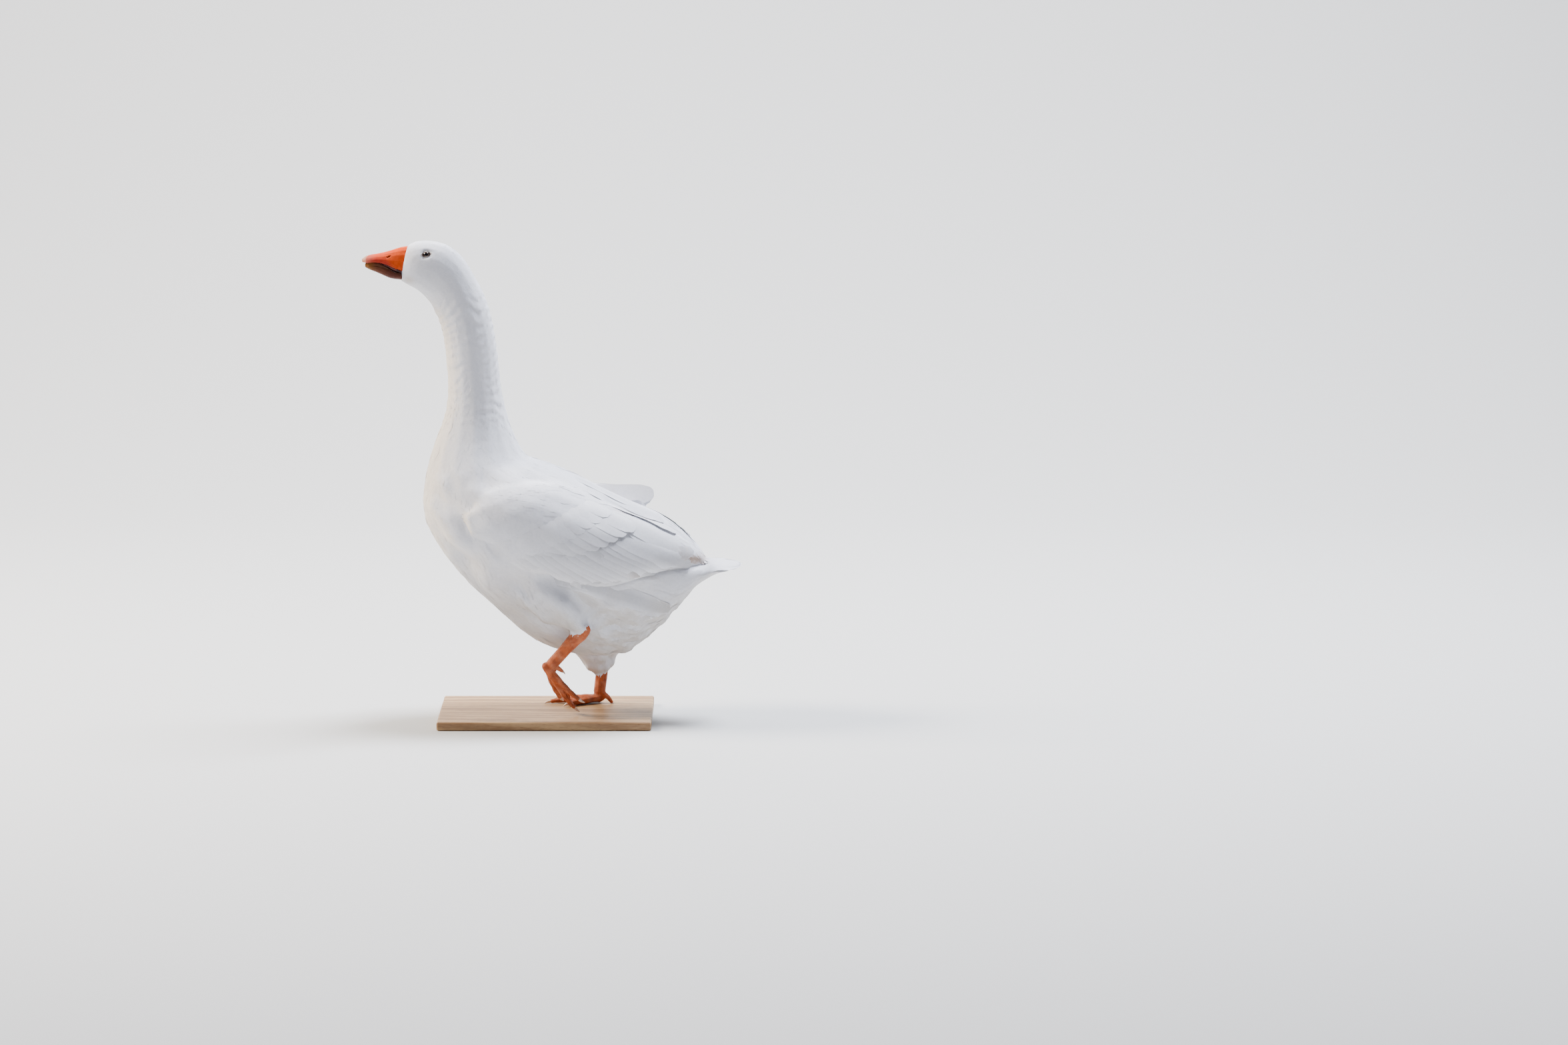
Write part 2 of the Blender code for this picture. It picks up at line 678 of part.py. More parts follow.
def main():
    clear_scene()
    home, helpers = collection("goose"), collection("cutters")
    white = material("plumage", WHITE, 0.8)
    orange = material("leg_skin", ORANGE, 0.5)
    bill_look = material("bill_horn", ORANGE, 0.4)
    claw_look = material("claw_horn", HORN, 0.4)
    tongue_look = material("tongue_skin", PINK, 0.4)
    eye_look = material("eye", BLACK, 0.05)
    wood = material("base_wood", OAK, 0.5)

    head = body_part("head", "bill_base", "nape", white, home)
    body_part("neck", "nape", "crop", white, home)
    trunk = body_part("trunk", "crop", "tail_root", white, home)
    wings = [wing_panel("wing_left", -1, white, home), wing_panel("wing_right", 1, white, home)]
    raised = raised_feathers(white, helpers)
    fan = tail(white, home)
    floor = floor_cut(helpers)
    thighs, bones = [], []
    for side_name, leg in LEGS.items():
        flesh = thigh(side_name, leg, white, home)
        bone = shank(side_name, leg, orange, home)
        sole, toes, claws = foot(side_name, leg, orange, claw_look, home, helpers)
        make_room(flesh, [bone, *wings], helpers)
        make_room(bone, [sole, *toes], helpers)
        for piece in (sole, *claws):
            combine(piece, floor, "DIFFERENCE")
        thighs.append(flesh)
        bones.append(bone)
    make_room(trunk, [*wings, *thighs, *bones, raised, fan], helpers)
    make_room(fan, wings, helpers)
    combine(wings[1], raised, "UNION")
    bill_half("bill_upper", UPPER_BILL, True, 0.35, bill_look, home)
    bill_half("bill_lower", LOWER_BILL, False, 0.30, bill_look, home)
    tongue(tongue_look, home)
    eyes = [eye("eye_left", -1, eye_look, home), eye("eye_right", 1, eye_look, home)]
    make_room(head, eyes, helpers)
    display_base(wood, home)
    settle(home, helpers)


main()
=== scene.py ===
"""A white domestic goose walking, as a still museum model on a wooden base.

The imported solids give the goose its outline. One skin stands in for the flesh and lies
inside that outline by the depth of the plumage. Feathers are thin vanes laid over it in
tracts, each following the lie of the plumage, with the long feathers of the wings and tail
placed row by row. Bill, tongue, eyes and claws are finished copies of their solids.

The goose faces -X, its left side is towards -Y, and the floor is z = 0. Sizes are metres.
"""

import logging
import math
from contextlib import contextmanager
from dataclasses import dataclass, replace
from enum import Enum
from typing import Callable, Iterator, NamedTuple, Sequence

import bmesh
import bpy
import numpy as np
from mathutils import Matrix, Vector, noise
from mathutils.bvhtree import BVHTree
from mathutils.kdtree import KDTree


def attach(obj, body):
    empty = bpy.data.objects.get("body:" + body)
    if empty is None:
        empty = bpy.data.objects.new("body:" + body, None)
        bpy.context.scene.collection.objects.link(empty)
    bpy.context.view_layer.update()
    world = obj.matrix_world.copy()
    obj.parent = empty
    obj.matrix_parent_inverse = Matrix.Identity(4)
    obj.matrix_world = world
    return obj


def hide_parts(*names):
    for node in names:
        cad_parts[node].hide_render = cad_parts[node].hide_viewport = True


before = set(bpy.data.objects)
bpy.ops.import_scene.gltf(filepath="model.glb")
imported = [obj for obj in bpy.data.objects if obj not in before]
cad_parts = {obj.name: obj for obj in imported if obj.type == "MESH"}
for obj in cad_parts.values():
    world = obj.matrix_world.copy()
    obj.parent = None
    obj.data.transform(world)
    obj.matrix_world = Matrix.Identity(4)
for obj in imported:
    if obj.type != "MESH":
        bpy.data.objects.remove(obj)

log = logging.getLogger("goose")
MM = 0.001
# A distance that says nothing is near.
FAR = 9.0
Array = np.ndarray
Piece = bpy.types.Object
Socket = bpy.types.NodeSocket
Material = bpy.types.Material
Pair = tuple[float, float]
Triple = tuple[float, float, float]


# Small tools


def linear(code: str) -> tuple[float, float, float, float]:
    """Turn a hex colour into the linear values a shader works with.

    Args:
        code: the colour as six hex digits.

    Returns:
        Red, green, blue and an alpha of one.
    """
    toe, slope, offset, power = 0.04045, 12.92, 0.055, 2.4
    parts = [int(code[i : i + 2], 16) / 255 for i in (0, 2, 4)]
    red, green, blue = (
        p / slope if p <= toe else ((p + offset) / (1 + offset)) ** power for p in parts
    )
    return red, green, blue, 1.0


def unit(vectors: Array) -> Array:
    """Scale vectors to length one."""
    return vectors / np.maximum(np.linalg.norm(vectors, axis=-1, keepdims=True), 1e-12)


def flatten_to(vectors: Array, normals: Array) -> Array:
    """Lay vectors into the planes that have these unit normals, at length one."""
    return unit(vectors - normals * np.sum(vectors * normals, axis=-1, keepdims=True))


def smooth_step(values: Array | float, low: float, high: float) -> Array:
    """Rise smoothly from 0 at low to 1 at high; low may be above high."""
    share = np.clip((np.asarray(values, float) - low) / (high - low), 0.0, 1.0)
    return share * share * (3 - 2 * share)


def select_only(*pieces: Piece) -> None:
    """Deselect everything, then select these pieces and make the last one active."""
    bpy.ops.object.select_all(action="DESELECT")
    for piece in pieces:
        piece.select_set(True)
        bpy.context.view_layer.objects.active = piece


def named(name: str) -> Piece:
    """Name the object that was just added, and return it."""
    made = bpy.context.object
    made.name = made.data.name = name
    return made


@contextmanager
def editing() -> Iterator[None]:
    """Work in edit mode on the active object."""
    bpy.ops.object.mode_set(mode="EDIT")
    yield
    bpy.ops.object.mode_set(mode="OBJECT")


def pick_vertices(piece: Piece, wanted: Callable[[Vector], bool]) -> None:
    """Select, in edit mode, the vertices whose place is wanted.

    Args:
        piece: the object in edit mode.
        wanted: says whether a place is wanted.
    """
    work = bmesh.from_edit_mesh(piece.data)
    for vert in work.verts:
        vert.select = wanted(vert.co)
    work.select_flush(True)
    work.select_flush(False)
    bmesh.update_edit_mesh(piece.data)


def copy_of_nodes(names: Sequence[str], name: str) -> Piece:
    """Copy CAD nodes into one new mesh object with its doubled points merged.

    Args:
        names: the nodes to copy; they are left as they are.
        name: the new object's name.

    Returns:
        The new object, at the origin.
    """
    copies = []
    for node in names:
        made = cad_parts[node].copy()
        made.data = made.data.copy()
        made.parent = None
        for key in list(made.keys()):
            del made[key]
        bpy.context.scene.collection.objects.link(made)
        copies.append(made)
    select_only(*copies)
    if len(copies) > 1:
        bpy.ops.object.join()
    joined = named(name)
    joined.data.materials.clear()
    with editing():
        bpy.ops.mesh.select_all(action="SELECT")
        bpy.ops.mesh.remove_doubles(threshold=0.01 * MM)
    return joined


def apply_modifier(piece: Piece, kind: str, **settings: object) -> None:
    """Add one modifier to a piece and apply it.

    Args:
        piece: the mesh object.
        kind: the modifier's type.
        settings: the modifier's own settings.
    """
    made = piece.modifiers.new(kind.lower(), kind)
    for key, value in settings.items():
        setattr(made, key, value)
    select_only(piece)
    bpy.ops.object.modifier_apply(modifier=made.name)


def relax(piece: Piece, passes: int, **settings: object) -> None:
    """Smooth a piece's mesh a number of times."""
    apply_modifier(piece, "SMOOTH", factor=0.5, iterations=passes, **settings)


def remesh(piece: Piece, voxel: float, passes: int, swell: float = 0.0) -> None:
    """Give a piece one even skin of small faces and smooth it.

    Args:
        piece: the mesh object, whose shells may overlap.
        voxel: the size of the new faces.
        passes: how many times the new mesh is smoothed.
        swell: how far the piece is swollen to close its gaps, and shrunk again after.
    """
    if swell:
        apply_modifier(piece, "DISPLACE", strength=swell, mid_level=0.0)
    apply_modifier(piece, "REMESH", mode="VOXEL", voxel_size=voxel)
    relax(piece, passes)
    if swell:
        set_points(piece, points_of(piece) - normals_of(piece) * swell)


def shade_smooth(piece: Piece) -> None:
    """Shade a piece smooth all over."""
    select_only(piece)
    bpy.ops.object.shade_smooth()


def points_of(piece: Piece, kind: str = "co") -> Array:
    """Read a piece's vertices as rows of x, y, z.

    Args:
        piece: the mesh object.
        kind: what is read, the place unless told.

    Returns:
        One row for each vertex.
    """
    points = np.empty(len(piece.data.vertices) * 3, np.float32)
    piece.data.vertices.foreach_get(kind, points)
    return points.reshape(-1, 3).astype(float)


def set_points(piece: Piece, points: Array) -> None:
    """Write a piece's vertices back from rows of x, y, z."""
    piece.data.vertices.foreach_set("co", points.astype(np.float32).ravel())
    piece.data.update()


def normals_of(piece: Piece) -> Array:
    """Read a piece's vertex normals."""
    return points_of(piece, "normal")


def triangles_of(piece: Piece) -> Array:
    """Read a piece's faces as rows of three vertex numbers.

    Args:
        piece: the mesh object.

    Returns:
        One row for each triangle.
    """
    piece.data.calc_loop_triangles()
    corners = np.empty(len(piece.data.loop_triangles) * 3, np.int32)
    piece.data.loop_triangles.foreach_get("vertices", corners)
    return corners.reshape(-1, 3)


def paint(piece: Piece, name: str, colours: Array) -> None:
    """Store one colour for each vertex of a piece.

    Args:
        piece: the mesh object.
        name: the attribute's name, which its material reads.
        colours: linear red, green and blue for each vertex.
    """
    layer = piece.data.attributes.new(name, "FLOAT_COLOR", "POINT")
    values = np.ones((len(colours), 4), np.float32)
    values[:, :3] = colours
    layer.data.foreach_set("color", values.ravel())


def search_tree(points: Array, triangles: Array) -> BVHTree:
    """Make a surface's search tree from its points and triangles."""
    return BVHTree.FromPolygons(points.tolist(), triangles.tolist(), all_triangles=True)


def gaps_to_node(points: Array, name: str, within: float) -> Array:
    """Measure how far points are from a CAD node.

    Args:
        points: the points.
        name: the node's name.
        within: the widest gap that is looked for.

    Returns:
        The gap at each point, or FAR where there is none within reach.
    """
    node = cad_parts[name]
    tree = search_tree(points_of(node), triangles_of(node))
    found = [tree.find_nearest(p, within) for p in points.tolist()]
    return np.array([f[3] if f[0] is not None else FAR for f in found])


def noise_at(points: Array) -> Array:
    """Read smooth noise at points whose features are one unit wide."""
    return np.array([noise.noise(p) for p in points.tolist()])


def standing(points: Array) -> Array:
    """Mark the places on the far wing's feathers that stand up over the back.

    Args:
        points: the places.

    Returns:
        True for each one that is on those feathers.
    """
    x, y, z = (points / MM).T
    front, inner, lean, half_width = 18, 28, 0.41, 16
    middle = np.interp(x, [28, 62, 95, 128, 160], [56, 51.5, 47.5, 43.5, 39]) + (z - 355) * lean
    foot = np.interp(x, [20, 40, 80, 110, 150], [362, 353, 348, 338, 328])
    return (x > front) & (y > inner) & (np.abs(y - middle) < half_width) & (z > foot)


def layered(base: str, layers: Sequence[tuple[str, Array]]) -> Array:
    """Lay colours over one another.

    Args:
        base: the colour underneath, as six hex digits.
        layers: each further colour, with how much of it each row takes.

    Returns:
        Linear red, green and blue in rows.
    """
    colours = np.tile(np.array(linear(base)[:3]), (len(layers[0][1]), 1))
    for code, share in layers:
        colours = colours + (np.array(linear(code)[:3]) - colours) * share[:, None]
    return colours


def place_piece(
    piece: Piece, material: Material, stands_for: Sequence[str] = ()
) -> None:
    """Give a finished piece its material and its place in the model, and report it.

    Args:
        piece: the finished object.
        material: what it is made of.
        stands_for: the CAD nodes that it stands for.
    """
    piece.data.materials.clear()
    piece.data.materials.append(material)
    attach(piece, "root")
    if stands_for:
        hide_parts(*stands_for)
    log.info("%s: %d faces", piece.name, len(piece.data.polygons))


# The lie of the plumage


class Station(NamedTuple):
    """A section of the body, in millimetres.

    It has (x, z) on the back and on the belly, half its width, and a body feather's length.
    """

    back: Pair
    belly: Pair
    half_width: float
    feather: float


# From the bill to the tail.
STATIONS = (
    Station((-229, 761), (-241, 705), 16, 2.6),
    Station((-208, 768), (-228, 690), 23, 4.2),
    Station((-191, 767), (-217, 684), 26, 5.4),
    Station((-145, 739), (-195, 668), 28, 8.5),
    Station((-111, 678), (-179, 636), 33, 12),
    Station((-91, 583), (-170, 575), 36, 15),
    Station((-76, 498), (-171, 495), 43, 18),
    Station((-61, 456), (-186, 451), 55, 22),
    Station((-40, 424), (-203, 398), 76, 27),
    Station((-9, 417), (-209, 338), 97, 31),
    Station((30, 403), (-193, 289), 109, 34),
    Station((73, 380), (-149, 228), 111, 36),
    Station((116, 356), (-93, 175), 106, 38),
    Station((157, 337), (-30, 126), 98, 40),
    Station((193, 318), (46, 103), 86, 40),
    Station((220, 297), (117, 109), 74, 40),
    Station((237, 272), (188, 169), 57, 40),
    Station((246, 258), (225, 215), 43, 42),
    Station((300, 252), (300, 246), 40, 46),
)
# The thighs' own lie, from the hip to the hock: x, z and y in millimetres.
LEFT_THIGH = ((-45, 262, -88), (-24, 232, -93), (0, 204, -96), (22, 180, -92), (48, 158, -76))
RIGHT_THIGH = ((5, 232, 88), (34, 186, 96), (60, 140, 95), (72, 104, 82), (76, 70, 62))


@dataclass
class PlumageLie:
    """Which way feathers point and how long they are, anywhere on the goose."""

    around: int = 12
    blur: float = 9 * MM
    thigh_feathers: Pair = (32, 15)
    thigh_run: float = 0.7
    thigh_reach: float = 5.0

    def __post_init__(self) -> None:
        """Set out guides round each station and along each thigh."""
        self.places, self.headings, self.lengths, self.runs, self.reach = self.guides()

    def guides(self) -> tuple[Array, Array, Array, Array, Array]:
        """Make the guides.

        Returns:
            Places, headings, feather lengths, distances from the bill and reaches.
        """
        rings = []
        angles = np.arange(self.around) * math.pi / (self.around / 2)
        lean, side = np.cos(angles), np.sin(angles)
        for station in STATIONS:
            (bx, bz), (vx, vz) = station.back, station.belly
            x = (bx + vx) / 2 + (bx - vx) / 2 * lean
            z = (bz + vz) / 2 + (bz - vz) / 2 * lean
            rings.append(np.stack([x, station.half_width * side, z], axis=1) * MM)
        rings = np.array(rings)
        middle = rings.mean(axis=1)
        run = np.concatenate([[0], np.cumsum(np.linalg.norm(np.diff(middle, axis=0), axis=1))])
        headings = unit(np.gradient(rings, axis=0)).reshape(-1, 3)
        lengths = np.repeat([s.feather * MM for s in STATIONS], self.around)
        places, runs = rings.reshape(-1, 3), np.repeat(run, self.around)
        reach = np.ones(len(places))
        for line in (LEFT_THIGH, RIGHT_THIGH):
            spine = np.array([(x, y, z) for x, z, y in line], float) * MM
            count = len(spine)
            places = np.vstack([places, spine])
            headings = np.vstack([headings, unit(np.gradient(spine, axis=0))])
            lengths = np.concatenate([lengths, np.linspace(*self.thigh_feathers, count) * MM])
            runs = np.concatenate([runs, np.full(count, self.thigh_run)])
            reach = np.concatenate([reach, np.full(count, self.thigh_reach)])
        return places, headings, lengths, runs, reach

    def at(self, points: Array, normals: Array) -> tuple[Array, Array, Array]:
        """Read the lie at places on the skin.

        Args:
            points: the places.
            normals: the outward normals there.

        Returns:
            Headings in the skin's plane, feather lengths, and distances from the bill.
        """
        gaps = ((points[:, None, :] - self.places[None]) ** 2).sum(axis=2)
        weights = self.reach / (gaps + self.blur**2) ** 2
        weights /= weights.sum(axis=1, keepdims=True)
        headings = flatten_to(weights @ self.headings, normals)
        return headings, weights @ self.lengths, weights @ self.runs


# The skin


class Surface:
    """A closed surface that answers what its nearest place is, with a smooth normal."""

    def __init__(self, points: Array, triangles: Array) -> None:
        """Keep the surface and make its search tree.

        Args:
            points: its vertices.
            triangles: three vertex numbers for each face.
        """
        self.points, self.triangles = points, triangles
        self.tree = search_tree(points, triangles)
        a, b, c = (points[triangles[:, k]] for k in range(3))
        crossed = np.cross(b - a, c - a)
        self.areas = np.linalg.norm(crossed, axis=1) / 2
        totals = np.zeros_like(points)
        for k in range(3):
            np.add.at(totals, triangles[:, k], crossed)
        self.normals = unit(totals)

    def shares(self, places: Array, faces: Array) -> Array:
        """Weigh a face's three corners at places on it.

        Args:
            places: the places.
            faces: the face that each is on.

        Returns:
            Three weights for each place, which add up to one.
        """
        a, b, c = (self.points[self.triangles[faces, k]] - places for k in range(3))
        pairs = ((b, c), (c, a), (a, b))
        weights = np.stack([np.linalg.norm(np.cross(p, q), axis=1) for p, q in pairs], axis=1)
        return weights / np.maximum(weights.sum(axis=1, keepdims=True), 1e-15)

    def settle(self, points: Array) -> tuple[Array, Array, Array]:
        """Bring points to the nearest place on the surface.

        Args:
            points: any points near it.

        Returns:
            The places, their smooth normals and the faces they are on.
        """
        find = self.tree.find_nearest
        found = [find(p) for p in points.tolist()]
        places = np.array([f[0] for f in found])
        faces = np.array([f[2] for f in found])
        weights = self.shares(places, faces)
        normals = unit((self.normals[self.triangles[faces]] * weights[:, :, None]).sum(axis=1))
        return places, normals, faces

    def scatter(self, spacing: Array, seed: int) -> tuple[Array, Array]:
        """Pick places all over the surface, no two nearer than the spacing there.

        Args:
            spacing: the wanted spacing at each vertex, or 0 where there are none.
            seed: what makes the pick repeatable.

        Returns:
            The places and their normals.
        """
        random = np.random.default_rng(seed)
        tries = 7
        gaps = spacing[self.triangles].min(axis=1)
        density = np.where(gaps > 0, self.areas / np.maximum(gaps, 1e-6) ** 2, 0.0)
        count = int(density.sum() * tries)
        faces = random.choice(len(density), count, p=density / density.sum())
        first, second = random.random((2, count))
        flip = first + second > 1
        first, second = np.where(flip, 1 - first, first), np.where(flip, 1 - second, second)
        weights = np.stack([1 - first - second, first, second], axis=1)
        corners = self.triangles[faces]
        places = (self.points[corners] * weights[:, :, None]).sum(axis=1)
        normals = unit((self.normals[corners] * weights[:, :, None]).sum(axis=1))
        radii = (spacing[corners] * weights).sum(axis=1)
        tree = KDTree(count)
        rows = places.tolist()
        for number, place in enumerate(rows):
            tree.insert(place, number)
        tree.balance()
        free = np.ones(count, bool)
        kept = []
        for number, place in enumerate(rows):
            if free[number]:
                kept.append(number)
                for _, other, _ in tree.find_range(place, float(radii[number])):
                    free[other] = False
        return places[kept], normals[kept]


class Part(Enum):
    """The fleshy parts of the goose, each with its CAD node's name."""

    HEAD = "head"
    NECK = "neck"
    TRUNK = "trunk"
    TAIL = "tail"
    WING_LEFT = "wing_left"
    WING_RIGHT = "wing_right"
    THIGH_LEFT = "thigh_left"
    THIGH_RIGHT = "thigh_right"
    SHANK_LEFT = "shank_left"
    SHANK_RIGHT = "shank_right"
    FOOT_LEFT = "foot_left"
    FOOT_RIGHT = "foot_right"


PARTS = tuple(Part)
FEATHERED = tuple(p for p in Part if not p.value.startswith(("shank", "foot")))
BARE = tuple(p for p in Part if p not in FEATHERED)
BODY = (Part.TRUNK, Part.THIGH_LEFT, Part.THIGH_RIGHT)


@dataclass
class Relief:
    """The creases, folds and fluff of the plumage's outline, at each of its vertices."""

    points: Array
    normals: Array
    owner: Array
    crease: float = 8.0 * MM
    crease_widths: Pair = (16 * MM, 2 * MM)
    thigh_share: float = 0.15
    wing_top: float = 0.36
    fold: float = 13.0 * MM
    fold_spacing: Triple = (0.028, 0.060, 0.06)
    fold_turn: Pair = (0.78, 0.62)
    scale_run: float = 14.0 * MM
    scale_rise: float = 3.2 * MM
    scale_drift: float = 2.6
    fluff_size: float = 13.0 * MM
    fluff_rise: float = 5.0 * MM

    def __post_init__(self) -> None:
        """Mark the vertices of the body."""
        self.body = np.isin(self.owner, [PARTS.index(p) for p in BODY])

    def shift(self) -> Array:
        """How far each vertex moves outwards."""
        return self.folds() + self.neck_scales() + self.fluff() - self.crease * self.partings()

    def partings(self) -> Array:
        """Find the creases where a wing or thigh parts from the body.

        Returns:
            The depth at each vertex, from 0 to 1.
        """
        inward = np.zeros(len(self.points))
        x, _, z = self.points.T
        depths = {Part.WING_LEFT: 1.0, Part.WING_RIGHT: 1.0, Part.THIGH_LEFT: self.thigh_share}
        for part, depth in depths.items():
            near = smooth_step(gaps_to_node(self.points, part.value, 0.03), *self.crease_widths)
            others = self.body & (self.owner != PARTS.index(part))
            inward += others * depth * near * (z < self.wing_top) * smooth_step(x, -0.075, 0.0)
        return np.clip(inward, 0, 1)

    def folds(self) -> Array:
        """Raise long soft folds along the sides.

        Returns:
            How far each vertex moves outwards.
        """
        x, y, z = self.points.T
        across, along, aside = self.fold_spacing
        cos, sin = self.fold_turn
        lines = ((x * sin + z * cos) / across, (x * cos - z * sin) / along)
        waves = noise_at(np.stack([*lines, y / aside], axis=1))
        side = smooth_step(z, 0.42, 0.36) * smooth_step(x, 0.20, 0.05)
        side = side * smooth_step(np.abs(y), 0.02, 0.07) * self.body
        return waves * (self.fold * side)

    def neck_scales(self) -> Array:
        """Step the neck where rows of its feathers end.

        Returns:
            How far each vertex moves outwards.
        """
        z = self.points[:, 2]
        neck = smooth_step(z, 0.44, 0.50) * smooth_step(z, 0.70, 0.66)
        drift = noise_at(self.points * (25, 25, 12))
        step = np.mod(-z / self.scale_run + self.scale_drift * drift, 1.0)
        rise = self.scale_rise * (step - 0.5) * smooth_step(step, 1.0, 0.85)
        return rise * neck * (0.4 + 0.6 * np.abs(self.normals[:, 0]))

    def fluff(self) -> Array:
        """Roughen the down under the tail.

        Returns:
            How far each vertex moves outwards.
        """
        x, _, z = self.points.T
        vent = smooth_step(x, 0.02, 0.07) * smooth_step(z, 0.22, 0.17) * self.body
        return noise_at(self.points / self.fluff_size) * vent * self.fluff_rise


@dataclass
class Skin:
    """The one skin under the plumage, and the plumage's outline that it is shrunk from."""

    voxel: float = 3.5 * MM
    limb_voxel: float = 1.0 * MM
    close_gaps: float = 0.5 * MM
    ridge_passes: int = 14
    depths: Pair = (0.5 * MM, 1.8 * MM)
    depth_share: float = 0.05
    face: Triple = (-235 * MM, 0.0, 733 * MM)
    tip_pull: Pair = (5.0 * MM, 2.5 * MM)

    def build(self) -> None:
        """Make the outline, its search surface and the skin itself."""
        shell = copy_of_nodes([p.value for p in PARTS], "outline")
        remesh(shell, self.voxel, 3, self.close_gaps)
        self.drape(shell)
        self.surface = Surface(points_of(shell), triangles_of(shell))
        self.owner = self.owners(self.surface.points)
        self.lie = PlumageLie()
        _, self.lengths, self.runs = self.lie.at(self.surface.points, self.surface.normals)
        self.object = self.shrink(shell)

    def drape(self, shell: Piece) -> None:
        """Give the outline its relief, then soften its ridges.

        Args:
            shell: the outline.
        """
        points, normals = points_of(shell), normals_of(shell)
        relief = Relief(points, normals, self.owners(points))
        set_points(shell, points + normals * relief.shift()[:, None])
        relax(shell, 1)
        x, y, z = points.T
        front = (x < 0.0) & (x > -0.11) & (z > 0.22) & (z < 0.44) & (np.abs(y) > 0.04)
        back = (x > -0.01) & (np.abs(y) < 0.085) & (z > 0.255) & ~standing(points)
        ridge = shell.vertex_groups.new(name="ridge")
        ridge.add(np.flatnonzero(front | back).tolist(), 1.0, "REPLACE")
        relax(shell, self.ridge_passes, vertex_group="ridge")

    def owners(self, points: Array) -> Array:
        """Say which part each point belongs to, as its number in PARTS.

        Args:
            points: the points.

        Returns:
            The part's number for each.
        """
        best = np.full(len(points), FAR)
        owner = np.zeros(len(points), int)
        for number, part in enumerate(PARTS):
            gaps = gaps_to_node(points, part.value, 0.02)
            nearer = gaps < best
            best[nearer], owner[nearer] = gaps[nearer], number
        return owner

    def fine_face(self) -> "Skin":
        """Make a finer outline of the head and bill, for the small feathers where they meet.

        Returns:
            A skin that has only what feathers need: its surface, lie and lengths.
        """
        made = copy_of_nodes(["head", "bill_upper", "bill_lower"], "face")
        remesh(made, self.limb_voxel, 3, self.close_gaps)
        fine = Skin()
        fine.surface = Surface(points_of(made), triangles_of(made))
        fine.lie = self.lie
        fine.lengths = self.lie.at(fine.surface.points, fine.surface.normals)[1]
        bpy.data.objects.remove(made)
        return fine

    def depth(self) -> Array:
        """Say how deep the skin lies under the outline.

        Returns:
            The depth at each vertex, less on the face and where the flesh is thin.
        """
        thin_share, start_depth = 0.3, 0.3
        depths = np.clip(self.lengths * self.depth_share, *self.depths)
        from_face = np.linalg.norm(self.surface.points - np.array(self.face), axis=1)
        depths *= 0.5 + 0.5 * smooth_step(from_face, 30 * MM, 55 * MM)
        starts = self.surface.points - self.surface.normals * start_depth * MM
        for number, (start, way) in enumerate(zip(starts.tolist(), (-self.surface.normals).tolist())):
            hit = self.surface.tree.ray_cast(start, way, 0.03)
            if hit[0] is not None:
                depths[number] = min(depths[number], hit[3] * thin_share)
        return depths

    def shrink(self, shell: Piece) -> Piece:
        """Turn the outline into the skin and give it the finely made legs and feet.

        Args:
            shell: the outline.

        Returns:
            The skin.
        """
        set_points(shell, self.surface.points - self.surface.normals * self.depth()[:, None])
        relax(shell, 4)
        limbs = copy_of_nodes([p.value for p in BARE], "limbs")
        remesh(limbs, self.limb_voxel, 3, self.close_gaps)
        bare = np.isin(self.owner, [PARTS.index(p) for p in BARE])
        points = points_of(shell)
        points[bare] -= self.surface.normals[bare] * 3 * MM
        x, _, z = (points / MM).T
        tip = standing(points) * smooth_step(x, 60, 120)
        points[:, 0] -= self.tip_pull[0] * tip
        points[:, 2] -= self.tip_pull[1] * tip * smooth_step(z, 352, 362)
        set_points(shell, points)
        apply_modifier(shell, "BOOLEAN", operation="UNION", solver="MANIFOLD", object=limbs)
        bpy.data.objects.remove(limbs)
        shell.name = shell.data.name = "skin"
        shade_smooth(shell)
        return shell

    def mark_bare(self) -> None:
        """Store how bare each vertex of the skin is: 1 on the legs and feet, 0 elsewhere."""
        points = points_of(self.object)
        to_bare, to_feathered = (
            np.min([gaps_to_node(points, part.value, 0.03) for part in group], axis=0)
            for group in (BARE, FEATHERED)
        )
        bare = smooth_step(to_feathered - to_bare, -0.5 * MM, 1.0 * MM)
        layer = self.object.data.attributes.new("bare", "FLOAT", "POINT")
        layer.data.foreach_set("value", bare.astype(np.float32))


# Feathers


class Vane(NamedTuple):
    """One feather as numbers: places across (-1 to 1) and along (0 to 1), and its faces."""

    across: Array
    along: Array
    quads: Array


